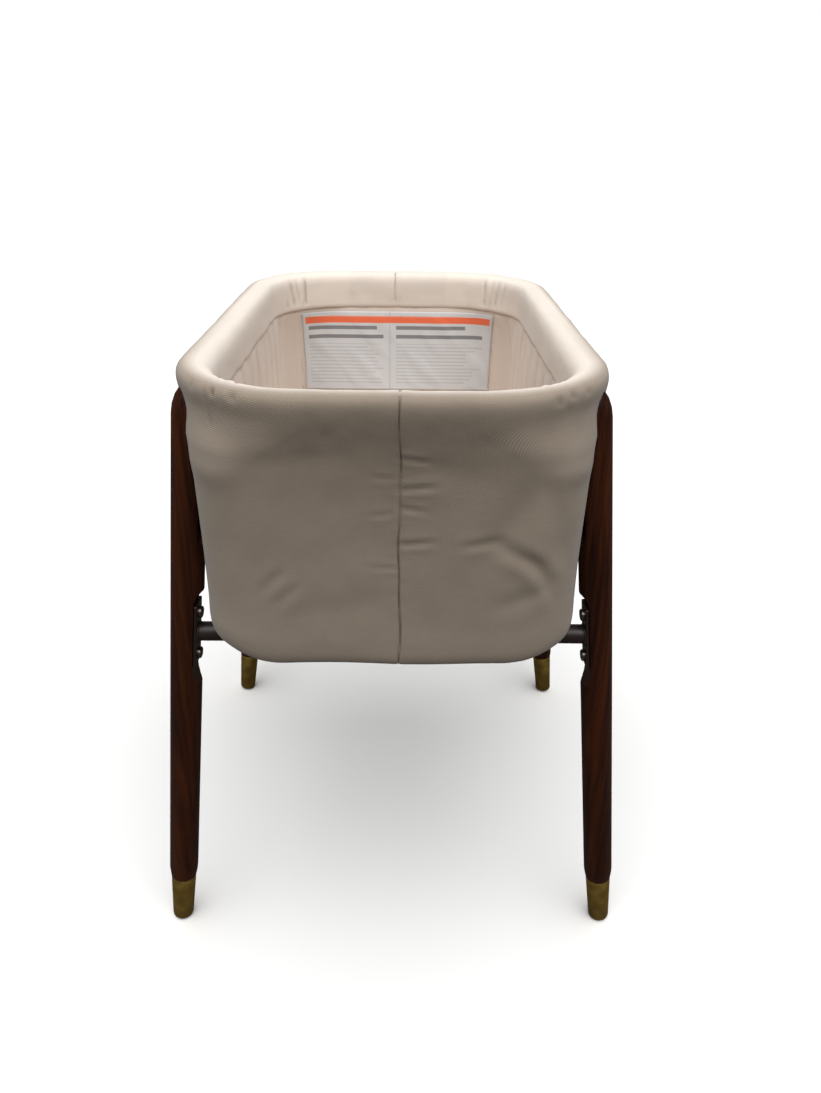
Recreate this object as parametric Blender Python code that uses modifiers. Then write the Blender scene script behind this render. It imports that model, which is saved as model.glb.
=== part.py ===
# Bassinet on a four-leg stand: a padded fabric tub hung from a tubular rim between splayed wooden legs.
# Metres, +Z up. X is the width, Y is the length with the foot end at -Y, and the feet stand on Z = 0.

import math

import bmesh
import bpy
from mathutils import Matrix, Vector

NAME = "bassinet_on_stand"
GAP = 0.0003  # between pieces that touch

# Stand
LEG_RADIUS = 0.019
LEG_SPREAD = 0.300  # from the centre plane to a leg's axis, at the floor
LEG_LEAN = 0.1213  # inward, for each metre of height
LEG_PAIR_Y = 0.270
LEG_TOP = 0.782
LEG_DOME = 0.033
TILT = math.atan(LEG_LEAN)
ALONG = 1.0 / math.cos(TILT)  # length along a leg for each metre of height

TIP_HEIGHT = 0.082
TIP_TOP_RADIUS = 0.0168
TIP_BOTTOM_RADIUS = 0.0142
TIP_WALL = 0.0015
TIP_BASE = 0.003
PEG_BOTTOM = 0.012
GLIDE_RADIUS = 0.0095
ANKLE = ((0.0190, 0.0990), (0.0185, 0.0930), (0.0178, 0.0870))  # (radius, height): the wood draws in to the tip

# Joint between the cross bars and the legs
BAR_HEIGHT = 0.4825
BAR_RADIUS = 0.0115
BAR_WALL = 0.0015
FLAT_DEPTH = 0.010  # from a leg's axis to the flat cut for the flange
FLAT_BOTTOM = 0.439
FLAT_TOP = 0.5255
FLANGE_THICKNESS = 0.0035
FLANGE_WIDTH = 0.028
FLANGE_HEIGHT = 0.084
FLANGE_BOLT_SPACING = 0.057

# Joint between the rim and the legs
SEAT_DEPTH = 0.003  # from a leg's axis to the flat cut for the hanger
SEAT_BOTTOM = 0.625
HANGER_THICKNESS = 0.003
HANGER_WIDTH = 0.025
SEAT_SIDE_GAP = 0.0012
HANGER_BOTTOM = 0.658
HANGER_BOLTS = (0.672, 0.700)
HANGER_TOP = 0.7745
SADDLE_CLEARANCE = 0.0015
FLANGE_RUN_OUTS = (0.017, 0.028)  # length of the scoop's curve above and below the flat
SEAT_RUN_OUT = 0.020

BOLT_RADIUS = 0.003
BOLT_HOLE_RADIUS = 0.0034
BOLT_LENGTH = 0.018
HEAD_RADIUS = 0.0072
HEAD_HEIGHT = 0.0048
UPPER_HEAD_HEIGHT = 0.0036

# Rim
RIM_HALF_X = 0.209
RIM_HALF_Y = 0.339
RIM_CORNER = 0.129
RIM_HEIGHT = 0.779
RAIL_RADIUS = 0.011
RAIL_WALL = 0.0012
RIM_REACH = 0.021  # from the rail's axis to the cover's widest line and to its crest
# The cover over the rim: how far it stands out from the rail's axis, and its height, from the band seam inside
# over the crest to its widest line, and from there down to the wall
RIM_INSIDE = ((-0.0186, 0.7600), (-0.0183, 0.7700), (-0.0142, 0.7866), (-0.0084, 0.7936), (-0.0012, 0.7976),
              (0.0095, 0.8000), (0.0178, 0.7955))
RIM_OUTSIDE = ((0.0210, 0.7850), (0.0202, 0.7750), (0.0165, 0.7620), (0.0115, 0.7500), (0.0055, 0.7350),
               (0.0010, 0.7220))
DRAPE_HEIGHT = 0.062  # over which the corners turn from the rim's large radius to the tub's
DRAPE_TUCK = 0.0035
SPIGOT_RADIUS = 0.0089
SPIGOT_WALL = 0.0014
SPIGOT_HALF_LENGTH = 0.042
BUTTON_Y = 0.022
BUTTON_RADIUS = 0.0032
BUTTON_STAND_OUT = 0.0036
BUTTON_HOLE_RADIUS = 0.0037
FOAM_RADIUS = 0.0134
FOAM_WALL = 0.0018
FOAM_END_Y = 0.052

# Tub
COVER_THICKNESS = 0.002
TUB_TOP_HALF_X = 0.2035
TUB_LOW_HALF_X = 0.208
TUB_HALF_Y = 0.337
TUB_CORNER = 0.064
TUB_FLOOR = 0.4945
BAND_SEAM = 0.760
SLOT_BOTTOM = 0.704
LINER_INSET = 0.0125
LINER_THICKNESS = 0.0015
LINER_CORNER = 0.0465
PADDING_INSET = 0.0035
PADDING_THICKNESS = 0.0045
PADDING_TOP = 0.712
PADDING_BOTTOM = 0.535
BOARD_HALF = (0.170, 0.303)
BOARD_THICKNESS = 0.0045
MATTRESS_HALF = (0.176, 0.309)
MATTRESS_CORNER = 0.082  # rounder than the tub, so that it lifts straight out through the rim
MATTRESS_THICKNESS = 0.030
SHEET_THICKNESS = 0.0012
LABEL_SIZE = (0.304, 0.126)
LABEL_MIDDLE = 0.672
LABEL_THICKNESS = 0.0006
LABEL_STAND_OFF = 0.0016

CORNER_STEPS = 6

for old in list(bpy.data.objects):
    bpy.data.objects.remove(old, do_unlink=True)

parts = bpy.data.collections.new(NAME)
cutters = bpy.data.collections.new("cutters")
bpy.context.scene.collection.children.link(parts)
bpy.context.scene.collection.children.link(cutters)
cutters.hide_render = True


# Materials

def material(name, color, roughness, metallic=0.0):
    made = bpy.data.materials.new(name)
    made.use_nodes = True
    shader = made.node_tree.nodes["Principled BSDF"]
    shader.inputs["Base Color"].default_value = (*color, 1.0)
    shader.inputs["Roughness"].default_value = roughness
    shader.inputs["Metallic"].default_value = metallic
    return made


walnut = material("dark_walnut", (0.030, 0.008, 0.004), 0.38)
brass = material("satin_brass", (0.300, 0.190, 0.055), 0.36, 1.0)
black_rubber = material("black_rubber", (0.02, 0.02, 0.02), 0.75)
brown_steel = material("brown_painted_steel", (0.032, 0.014, 0.010), 0.42, 0.3)
zinc_steel = material("zinc_plated_steel", (0.55, 0.55, 0.56), 0.30, 1.0)
bolt_steel = material("dark_bolt_steel", (0.16, 0.13, 0.12), 0.28, 1.0)
beige_twill = material("beige_twill", (0.370, 0.300, 0.250), 0.92)
liner_cotton = material("liner_cotton", (0.540, 0.430, 0.360), 0.94)
foam_yellow = material("cream_foam", (0.75, 0.70, 0.55), 0.95)
hardboard = material("hardboard", (0.28, 0.17, 0.09), 0.80)
sheet_cotton = material("sheet_cotton", (0.700, 0.620, 0.560), 0.94)
label_satin = material("label_satin", (0.78, 0.77, 0.78), 0.60)


# Helpers

def add(name, mesh, look=None, parent=None, where=(0, 0, 0)):
    obj = bpy.data.objects.new(name, mesh)
    (cutters if look is None else parts).objects.link(obj)
    obj.parent = parent
    obj.location = where
    if look is None:
        obj.hide_render = True
        obj.display_type = "WIRE"
    else:
        mesh.materials.clear()
        mesh.materials.append(look)
    return obj


def mesh_from(bm, name, smooth=True):
    bmesh.ops.recalc_face_normals(bm, faces=bm.faces)
    mesh = bpy.data.meshes.new(name)
    bm.to_mesh(mesh)
    bm.free()
    if smooth:
        mesh.shade_smooth()
        mesh.set_sharp_from_angle(angle=math.radians(35))
    return mesh


def turned(name, profile, steps=24):
    """A closed turned solid. The profile runs from the top pole down the outer side to the bottom pole."""
    bm = bmesh.new()
    verts = [bm.verts.new((r, 0, z)) for r, z in profile]
    for a, b in zip(verts, verts[1:]):
        bm.edges.new((a, b))
    bmesh.ops.spin(bm, geom=bm.verts[:] + bm.edges[:], cent=(0, 0, 0), axis=(0, 0, 1),
                   angle=math.tau, steps=steps)
    bmesh.ops.remove_doubles(bm, verts=bm.verts, dist=0.00002)
    return mesh_from(bm, name)


def box(name, low, high):
    bm = bmesh.new()
    size = Vector(high) - Vector(low)
    middle = (Vector(high) + Vector(low)) / 2
    bmesh.ops.create_cube(bm, size=1.0, matrix=Matrix.Translation(middle) @ Matrix.Diagonal((*size, 1)))
    return mesh_from(bm, name, smooth=False)


def cylinder(name, radius, low, high, axis="Z", steps=16, middle=(0, 0)):
    """A solid cylinder along X or Z, from low to high; middle holds its other two coordinates."""
    turn = {"X": Matrix.Rotation(math.pi / 2, 4, "Y"), "Z": Matrix()}
    centre = (low + high) / 2
    at = {"X": (centre, *middle), "Z": (*middle, centre)}
    bm = bmesh.new()
    bmesh.ops.create_cone(bm, cap_ends=True, segments=steps, radius1=radius, radius2=radius,
                          depth=high - low, matrix=Matrix.Translation(at[axis]) @ turn[axis])
    return mesh_from(bm, name)


def prism(name, outline, half_width):
    """An outline in the XZ plane, extruded both ways along Y."""
    bm = bmesh.new()
    face = bm.faces.new([bm.verts.new((x, -half_width, z)) for x, z in outline])
    made = bmesh.ops.extrude_face_region(bm, geom=[face])
    moved = [g for g in made["geom"] if isinstance(g, bmesh.types.BMVert)]
    bmesh.ops.translate(bm, verts=moved, vec=(0, 2 * half_width, 0))
    return mesh_from(bm, name, smooth=False)


def cut(obj, cutter):
    modifier = obj.modifiers.new("cut_" + cutter.name, "BOOLEAN")
    modifier.operation = "DIFFERENCE"
    modifier.object = cutter


def thicken(obj, thickness, offset=-1.0):
    modifier = obj.modifiers.new("wall", "SOLIDIFY")
    modifier.thickness = thickness
    modifier.offset = offset


def ring_points(half_x, half_y, corner, height):
    """Points round a rectangle with round corners, anticlockwise from above."""
    points = []
    for quarter, (sx, sy) in enumerate(((1, 1), (-1, 1), (-1, -1), (1, -1))):
        for step in range(CORNER_STEPS + 1):
            angle = (quarter + step / CORNER_STEPS) * math.pi / 2
            points.append((sx * (half_x - corner) + corner * math.cos(angle),
                           sy * (half_y - corner) + corner * math.sin(angle), height))
    return points


def loft(name, stations, close_first=False, close_last=False):
    """An open skin through round-cornered rings; each station is (half_x, half_y, corner, height)."""
    bm = bmesh.new()
    rings = [[bm.verts.new(p) for p in ring_points(*station)] for station in stations]
    for upper, lower in zip(rings, rings[1:]):
        for i in range(len(upper)):
            j = (i + 1) % len(upper)
            bm.faces.new((upper[i], upper[j], lower[j], lower[i]))
    if close_first:
        bm.faces.new(rings[0])
    if close_last:
        bm.faces.new(rings[-1])
    return mesh_from(bm, name)


def face_outward(mesh):
    """Turns an open skin's faces so that the ones on its sides look away from the middle."""
    widest = max(mesh.polygons, key=lambda f: abs(f.center.x) - 10 * abs(f.normal.z))
    if widest.normal.x * widest.center.x < 0:
        mesh.flip_normals()
    return mesh


# Rim path: one half of the rounded rectangle, from one side joint round an end to the other

def rim_path(end, start_y):
    points = [(RIM_HALF_X, start_y)]
    for quarter in (0, 1):
        side = 1 - 2 * quarter
        for step in range(CORNER_STEPS + 1):
            angle = (quarter + step / CORNER_STEPS) * math.pi / 2
            points.append((side * (RIM_HALF_X - RIM_CORNER) + RIM_CORNER * math.cos(angle),
                           RIM_HALF_Y - RIM_CORNER + RIM_CORNER * math.sin(angle)))
    points.append((-RIM_HALF_X, start_y))
    return [(x, end * y, RIM_HEIGHT) for x, y in points]


def swept_tube(name, points, radius, cyclic=False):
    """A mesh made from a round-bevelled curve through the points, open at its ends."""
    curve = bpy.data.curves.new(name, "CURVE")
    curve.dimensions = "3D"
    curve.bevel_depth = radius
    curve.bevel_resolution = 4
    spline = curve.splines.new("POLY")
    spline.points.add(len(points) - 1)
    for point, place in zip(spline.points, points):
        point.co = (*place, 1.0)
    spline.use_cyclic_u = cyclic
    guide = bpy.data.objects.new(name, curve)
    cutters.objects.link(guide)
    bpy.context.view_layer.update()
    evaluated = guide.evaluated_get(bpy.context.evaluated_depsgraph_get())
    made = bpy.data.meshes.new_from_object(evaluated)
    bpy.data.objects.remove(guide, do_unlink=True)
    bm = bmesh.new()
    bm.from_mesh(made)
    bmesh.ops.remove_doubles(bm, verts=bm.verts, dist=0.00002)
    return mesh_from(bm, name)


def outward_tube(mesh, points):
    """Turns an open tube's faces away from its own centreline."""
    face = mesh.polygons[0]
    nearest = min((Vector(p) for p in points), key=lambda p: (p - face.center).length)
    radial = face.center - nearest
    if face.normal.dot(radial) < 0:
        mesh.flip_normals()
    return mesh


# Stand frame: an empty at each foot, whose Z runs up the leg and whose X points inwards

def foot_frames():
    frames = {}
    for end, sy in (("front", -1), ("rear", 1)):
        for side, sx in (("left", -1), ("right", 1)):
            empty = bpy.data.objects.new(f"frame_{end}_{side}", None)
            parts.objects.link(empty)
            facing = 0.0 if sx < 0 else math.pi
            turn = Matrix.Rotation(facing, 4, "Z") @ Matrix.Rotation(TILT, 4, "Y")
            empty.matrix_world = Matrix.Translation((sx * LEG_SPREAD, sy * LEG_PAIR_Y, 0)) @ turn
            frames[end, side] = empty
    bpy.context.view_layer.update()
    return frames


def leg_mesh():
    """The turned leg: a domed top, a straight shaft and a tapered peg that fills the metal tip."""
    top = LEG_TOP * ALONG
    profile = [(0.0, top)]
    for step in range(1, 6):
        angle = step / 5 * math.pi / 2
        profile.append((LEG_RADIUS * math.sin(angle), top - LEG_DOME * (1 - math.cos(angle))))
    peg_top = TIP_TOP_RADIUS - TIP_WALL - GAP
    peg_bottom = TIP_BOTTOM_RADIUS - TIP_WALL - GAP
    profile += list(ANKLE)
    profile += [(TIP_TOP_RADIUS, TIP_HEIGHT + GAP), (peg_top, TIP_HEIGHT + GAP), (peg_bottom, PEG_BOTTOM),
                (0.0, PEG_BOTTOM)]
    return turned("leg", profile, steps=24)


def flange_recess():
    """The flat scooped out for the flange, with a curved run-out above and a longer one below."""
    reach = LEG_RADIUS - FLAT_DEPTH + 0.0015
    low, high = FLAT_BOTTOM * ALONG, FLAT_TOP * ALONG
    outline = [(FLAT_DEPTH + reach * (1 - math.cos(t)), high + FLANGE_RUN_OUTS[0] * math.sin(t))
               for t in (step / 5 * math.pi / 2 for step in range(6))]
    outline += [(FLAT_DEPTH + reach * (1 - math.cos(t)), low - FLANGE_RUN_OUTS[1] * math.sin(t))
                for t in (step / 5 * math.pi / 2 for step in range(5, -1, -1))]
    return prism("flange_recess", outline, LEG_RADIUS + 0.004)


def hanger_seat():
    """The recess for the hanger: it runs out of the leg's top and ends in a curve below."""
    low, high = SEAT_BOTTOM * ALONG, LEG_TOP * ALONG + 0.004
    reach = LEG_RADIUS - SEAT_DEPTH + 0.0015
    outline = [(SEAT_DEPTH, high), (SEAT_DEPTH + reach, high)]
    outline += [(SEAT_DEPTH + reach * (1 - math.cos(t)), low - SEAT_RUN_OUT * math.sin(t))
                for t in (step / 5 * math.pi / 2 for step in range(5, -1, -1))]
    return prism("hanger_seat", outline, HANGER_WIDTH / 2 + SEAT_SIDE_GAP)


def bolt_heights():
    """(name, height along the leg, depth of the flat, plate thickness, head height) of each bolt in a leg."""
    middle = BAR_HEIGHT * ALONG
    half = FLANGE_BOLT_SPACING / 2
    return [("flange_bolt_upper", middle + half, FLAT_DEPTH, FLANGE_THICKNESS, HEAD_HEIGHT),
            ("flange_bolt_lower", middle - half, FLAT_DEPTH, FLANGE_THICKNESS, HEAD_HEIGHT),
            ("hanger_bolt_upper", HANGER_BOLTS[1] * ALONG, SEAT_DEPTH, HANGER_THICKNESS, UPPER_HEAD_HEIGHT),
            ("hanger_bolt_lower", HANGER_BOLTS[0] * ALONG, SEAT_DEPTH, HANGER_THICKNESS, UPPER_HEAD_HEIGHT)]


def rail_cutter():
    """The rim's rail as a closed ring, a little larger, used to shape what is welded to it."""
    front = rim_path(-1, 0.0)
    rear = rim_path(1, 0.0)
    loop = front[:-1] + rear[:0:-1]
    return add("cut_rail", swept_tube("cut_rail", loop, RAIL_RADIUS + GAP, cyclic=True))


def saddle_cutter():
    """The outside of the covered tub, a little larger, used to scoop out the tops of the legs."""
    stations = [(half_x + SADDLE_CLEARANCE, half_y + SADDLE_CLEARANCE, corner + SADDLE_CLEARANCE, height)
                for half_x, half_y, corner, height in cover_outside()]
    stations.insert(0, (*stations[0][:3], RIM_HEIGHT + RIM_REACH))
    return add("cut_saddle", loft("cut_saddle", stations, close_first=True, close_last=True))


def make_legs(frames, saddle):
    mesh = leg_mesh()
    for (end, side), frame in frames.items():
        leg = add(f"leg_{end}_{side}", mesh.copy(), walnut, frame)
        cut(leg, add(f"cut_flange_{end}_{side}", flange_recess(), parent=frame))
        cut(leg, add(f"cut_seat_{end}_{side}", hanger_seat(), parent=frame))
        cut(leg, saddle)
        for name, height, depth, _plate, _head in bolt_heights():
            hole = cylinder(name, BOLT_HOLE_RADIUS, depth - BOLT_LENGTH, LEG_RADIUS + 0.002,
                            axis="X", steps=12, middle=(0, height))
            cut(leg, add(f"cut_{name}_{end}_{side}", hole, parent=frame))


def tip_mesh():
    """The metal tip: a tapered cup with a rounded lower edge, open at the top."""
    low = 0.002
    profile = [(TIP_TOP_RADIUS - TIP_WALL, TIP_HEIGHT), (TIP_TOP_RADIUS - 0.0003, TIP_HEIGHT),
               (TIP_TOP_RADIUS, TIP_HEIGHT - 0.0004)]
    for step in range(4):
        angle = step / 3 * math.pi / 2
        profile.append((TIP_BOTTOM_RADIUS - 0.004 * (1 - math.cos(angle)), low + 0.004 * (1 - math.sin(angle))))
    floor = PEG_BOTTOM - GAP
    profile += [(0.0, low), (0.0, floor), (TIP_BOTTOM_RADIUS - TIP_WALL, floor)]
    profile.append(profile[0])
    return turned("tip", profile, steps=20)


def make_tips_and_glides(frames):
    mesh = tip_mesh()
    floor_cut = add("cut_floor", box("cut_floor", (-0.5, -0.5, -0.05), (0.5, 0.5, TIP_BASE + GAP)))
    for (end, side), frame in frames.items():
        tip = add(f"brass_tip_{end}_{side}", mesh.copy(), brass, frame)
        cut(tip, floor_cut)
        foot = frame.matrix_world @ Vector((0, 0, TIP_BASE))
        glide = turned("glide", [(0.0, TIP_BASE), (GLIDE_RADIUS, TIP_BASE), (GLIDE_RADIUS, 0.0008),
                                 (GLIDE_RADIUS - 0.0008, 0.0), (0.0, 0.0)], steps=16)
        add(f"foot_glide_{end}_{side}", glide, black_rubber, where=(foot.x, foot.y, 0))


def make_flanges(frames):
    half_height = FLANGE_HEIGHT / 2
    middle = BAR_HEIGHT * ALONG
    inner = FLAT_DEPTH + GAP
    for (end, side), frame in frames.items():
        plate = add(f"flange_plate_{end}_{side}",
                    box("flange", (inner, -FLANGE_WIDTH / 2, middle - half_height),
                        (inner + FLANGE_THICKNESS, FLANGE_WIDTH / 2, middle + half_height)),
                    brown_steel, frame)
        for sign in (1, -1):
            hole = cylinder("hole", BOLT_HOLE_RADIUS, FLAT_DEPTH - 0.002, LEG_RADIUS + 0.002, axis="X",
                            steps=12, middle=(0, middle + sign * FLANGE_BOLT_SPACING / 2))
            cut(plate, add(f"cut_flange_hole_{end}_{side}_{sign}", hole, parent=frame))
        corners = plate.modifiers.new("corners", "BEVEL")
        corners.width = 0.0006
        corners.segments = 1
        corners.limit_method = "ANGLE"
        corners.angle_limit = math.radians(60)
        corners.use_clamp_overlap = True


def make_bars(frames):
    """Each bar is an open tube skin cut to its two flange faces, then given its wall."""
    for end in ("front", "rear"):
        bm = bmesh.new()
        turn = Matrix.Translation((0, LEG_PAIR_Y * (-1 if end == "front" else 1), BAR_HEIGHT))
        bmesh.ops.create_cone(bm, cap_ends=False, segments=24, radius1=BAR_RADIUS, radius2=BAR_RADIUS,
                              depth=0.56, matrix=turn @ Matrix.Rotation(math.pi / 2, 4, "Y"))
        for side in ("left", "right"):
            frame = frames[end, side].matrix_world
            face = frame @ Vector((FLAT_DEPTH + FLANGE_THICKNESS + 2 * GAP, 0, BAR_HEIGHT * ALONG))
            outward = frame.to_3x3() @ Vector((-1, 0, 0))
            bmesh.ops.bisect_plane(bm, geom=bm.verts[:] + bm.edges[:] + bm.faces[:], plane_co=face,
                                   plane_no=outward, clear_outer=True)
        bmesh.ops.recalc_face_normals(bm, faces=bm.faces)
        mesh = mesh_from(bm, "cross_bar")
        first = mesh.polygons[0]
        if first.normal.z * (first.center.z - BAR_HEIGHT) < 0:
            mesh.flip_normals()
        bar = add(f"cross_bar_{end}", mesh, brown_steel)
        thicken(bar, BAR_WALL)


def make_hangers(frames, rail_clearance):
    """A plate on each leg's upper flat, whose top edge is cut to the round of the rail above it."""
    inner = SEAT_DEPTH + GAP
    for (end, side), frame in frames.items():
        plate = add(f"hanger_plate_{end}_{side}",
                    box("hanger", (inner, -HANGER_WIDTH / 2, HANGER_BOTTOM * ALONG),
                        (inner + HANGER_THICKNESS, HANGER_WIDTH / 2, HANGER_TOP * ALONG)),
                    brown_steel, frame)
        for height in HANGER_BOLTS:
            hole = cylinder("hole", BOLT_HOLE_RADIUS, SEAT_DEPTH - 0.002, LEG_RADIUS + 0.002, axis="X",
                            steps=12, middle=(0, height * ALONG))
            cut(plate, add(f"cut_hanger_hole_{end}_{side}_{round(height * 1000)}", hole, parent=frame))
        cut(plate, rail_clearance)


def bolt_mesh(plate, head):
    """A dome-headed bolt lying along X, its head's underside at X = 0."""
    profile = [(0.0, head)]
    for step in range(1, 3):
        angle = step / 2 * math.radians(80)
        profile.append((HEAD_RADIUS * math.sin(angle) / math.sin(math.radians(80)),
                        head * (math.cos(angle) - 0.17) / 0.83 + 0.0005))
    profile += [(HEAD_RADIUS, 0.0), (BOLT_RADIUS, 0.0), (BOLT_RADIUS, -(BOLT_LENGTH + plate - 0.003)),
                (0.0, -(BOLT_LENGTH + plate - 0.003))]
    mesh = turned("bolt", profile, steps=12)
    mesh.transform(Matrix.Rotation(math.pi / 2, 4, "Y"))
    return mesh


def make_bolts(frames):
    for (end, side), frame in frames.items():
        for name, height, depth, plate, head in bolt_heights():
            seat = depth + plate + 2 * GAP
            add(f"{name}_{end}_{side}", bolt_mesh(plate, head), bolt_steel, frame, (seat, 0, height))


def make_rails():
    for end, sign in (("front", -1), ("rear", 1)):
        points = rim_path(sign, GAP)
        mesh = outward_tube(swept_tube("rail", points, RAIL_RADIUS), points)
        rail = add(f"rim_rail_{end}", mesh, zinc_steel)
        thicken(rail, RAIL_WALL)
        if end == "rear":
            for side, sx in (("left", -1), ("right", 1)):
                hole = cylinder("hole", BUTTON_HOLE_RADIUS, RIM_HEIGHT - 0.02, RIM_HEIGHT - 0.004, steps=12,
                                middle=(sx * RIM_HALF_X, BUTTON_Y))
                cut(rail, add(f"cut_button_hole_{side}", hole))


def make_spigots_and_buttons():
    for side, sx in (("left", -1), ("right", 1)):
        bm = bmesh.new()
        lie = Matrix.Translation((sx * RIM_HALF_X, 0, RIM_HEIGHT)) @ Matrix.Rotation(math.pi / 2, 4, "X")
        bmesh.ops.create_cone(bm, cap_ends=False, segments=16, radius1=SPIGOT_RADIUS, radius2=SPIGOT_RADIUS,
                              depth=2 * SPIGOT_HALF_LENGTH, matrix=lie)
        mesh = face_outward(mesh_from(bm, "spigot"))
        first = mesh.polygons[0]
        if first.normal.dot(first.center - Vector((sx * RIM_HALF_X, first.center.y, RIM_HEIGHT))) < 0:
            mesh.flip_normals()
        spigot = add(f"rim_connector_{side}", mesh, zinc_steel)
        thicken(spigot, SPIGOT_WALL)
        hole = cylinder("hole", BUTTON_HOLE_RADIUS, RIM_HEIGHT - 0.02, RIM_HEIGHT - 0.004, steps=12,
                        middle=(sx * RIM_HALF_X, BUTTON_Y))
        cut(spigot, add(f"cut_connector_hole_{side}", hole))
        collar = SPIGOT_RADIUS - SPIGOT_WALL - 0.0009
        low = -(RAIL_RADIUS + BUTTON_STAND_OUT)
        button = turned("button", [(0.0, -collar + 0.0022), (0.0046, -collar + 0.0022),
                                   (0.0046, -collar + 0.0012), (BUTTON_RADIUS, -collar + 0.0012),
                                   (BUTTON_RADIUS, low + 0.0016), (BUTTON_RADIUS * 0.6, low),
                                   (0.0, low)], steps=16)
        add(f"snap_button_{side}", button, zinc_steel, where=(sx * RIM_HALF_X, BUTTON_Y, RIM_HEIGHT))


def hanger_slots(frames):
    """Clearance blocks round the hanger plates, where they pass through the fabric and the foam."""
    slots = []
    for (end, side), frame in frames.items():
        block = box("slot", (SEAT_DEPTH - 0.002, -HANGER_WIDTH / 2 - 0.0015, SLOT_BOTTOM * ALONG),
                    (SEAT_DEPTH + HANGER_THICKNESS + 0.0018, HANGER_WIDTH / 2 + 0.0015,
                     (HANGER_TOP + 0.0015) * ALONG))
        slots.append(add(f"cut_slot_{end}_{side}", block, parent=frame))
    return slots


def make_foam(slots):
    for end, sign in (("front", -1), ("rear", 1)):
        points = rim_path(sign, FOAM_END_Y)
        mesh = outward_tube(swept_tube("foam", points, FOAM_RADIUS), points)
        foam = add(f"rim_foam_{end}", mesh, foam_yellow)
        thicken(foam, FOAM_WALL)
        for slot in slots:
            if slot.name.startswith(f"cut_slot_{end}"):
                cut(foam, slot)


def rim_ring(out, height):
    """A ring of the cover over the rim. Below the widest line its corners turn to the tub's smaller radius."""
    drop = min(max((RIM_OUTSIDE[1][1] - height) / DRAPE_HEIGHT, 0.0), 1.0) if out > 0 else 0.0
    squarer = (RIM_CORNER - TUB_CORNER) * drop * drop * (3 - 2 * drop)
    return (RIM_HALF_X + out - DRAPE_TUCK * drop, RIM_HALF_Y + out, RIM_CORNER + out - squarer, height)


def cover_outside():
    """The cover's rings from its widest line to the floor."""
    rings = [rim_ring(out, height) for out, height in RIM_OUTSIDE]
    rings += [(TUB_TOP_HALF_X, TUB_HALF_Y, TUB_CORNER, 0.710),
              (TUB_LOW_HALF_X, TUB_HALF_Y, TUB_CORNER, 0.540),
              (TUB_LOW_HALF_X, TUB_HALF_Y, TUB_CORNER, 0.516),
              (TUB_LOW_HALF_X - 0.001, TUB_HALF_Y - 0.001, TUB_CORNER, 0.506),
              (TUB_LOW_HALF_X - 0.005, TUB_HALF_Y - 0.005, TUB_CORNER - 0.003, 0.498),
              (TUB_LOW_HALF_X - 0.014, TUB_HALF_Y - 0.014, TUB_CORNER - 0.008, TUB_FLOOR)]
    return rings


def make_cover(slots):
    """The outer cover: over the rim from its inner seam, down the walls and across the floor."""
    stations = [rim_ring(out, height) for out, height in RIM_INSIDE] + cover_outside()
    mesh = loft("cover", stations, close_last=True)
    side = max(mesh.polygons, key=lambda f: f.center.x - 100 * abs(f.center.z - 0.62))
    if side.normal.x < 0:
        mesh.flip_normals()
    cover = add("outer_cover", mesh, beige_twill)
    thicken(cover, COVER_THICKNESS)
    for slot in slots:
        cut(cover, slot)


def make_padding():
    """The padding sheet inside the walls, between the cover and the lining."""
    inset = COVER_THICKNESS + PADDING_INSET - PADDING_THICKNESS * 0.4
    stations = [(half_x - inset, TUB_HALF_Y - inset, TUB_CORNER - 0.005, height)
                for half_x, height in ((TUB_TOP_HALF_X, PADDING_TOP), (TUB_LOW_HALF_X, PADDING_BOTTOM))]
    padding = add("wall_padding", face_outward(loft("padding", stations)), foam_yellow)
    thicken(padding, PADDING_THICKNESS)


def make_liner():
    """The inner lining: it hangs from the band seam, down the walls and across the floor."""
    top_x, low_x = TUB_TOP_HALF_X - LINER_INSET, TUB_LOW_HALF_X - LINER_INSET
    half_y = TUB_HALF_Y - LINER_INSET
    stations = [(RIM_HALF_X - RIM_REACH - 0.0015, RIM_HALF_Y - RIM_REACH - 0.0015, 0.085, BAND_SEAM - 0.0015),
                (top_x - 0.0005, half_y - 0.0005, LINER_CORNER + 0.001, 0.742),
                (low_x, half_y, LINER_CORNER, 0.530),
                (low_x - 0.003, half_y - 0.003, LINER_CORNER - 0.002, 0.514),
                (low_x - 0.012, half_y - 0.012, LINER_CORNER - 0.006, 0.5055),
                (low_x - 0.027, half_y - 0.027, LINER_CORNER - 0.014, 0.5022)]
    mesh = loft("liner", stations, close_last=True)
    side = max(mesh.polygons, key=lambda f: f.center.x - 100 * abs(f.center.z - 0.62))
    if side.normal.x < 0:
        mesh.flip_normals()
    thicken(add("inner_liner", mesh, liner_cotton), LINER_THICKNESS)


def make_board():
    low = TUB_FLOOR + COVER_THICKNESS + GAP
    stations = [(*BOARD_HALF, 0.040, low + BOARD_THICKNESS), (*BOARD_HALF, 0.040, low)]
    add("base_board", loft("board", stations, close_first=True, close_last=True), hardboard)


def mattress_stations(inset, bottom):
    half_x, half_y = MATTRESS_HALF
    rows = ((0.010, MATTRESS_THICKNESS), (0.003, MATTRESS_THICKNESS - 0.003), (0.0, MATTRESS_THICKNESS - 0.010),
            (0.0, 0.010), (0.003, 0.003), (0.010, 0.0))
    return [(half_x - inset - tuck, half_y - inset - tuck, MATTRESS_CORNER - inset - tuck * 0.6,
             bottom + inset + rise * (MATTRESS_THICKNESS - 2 * inset) / MATTRESS_THICKNESS)
            for tuck, rise in rows]


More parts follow.
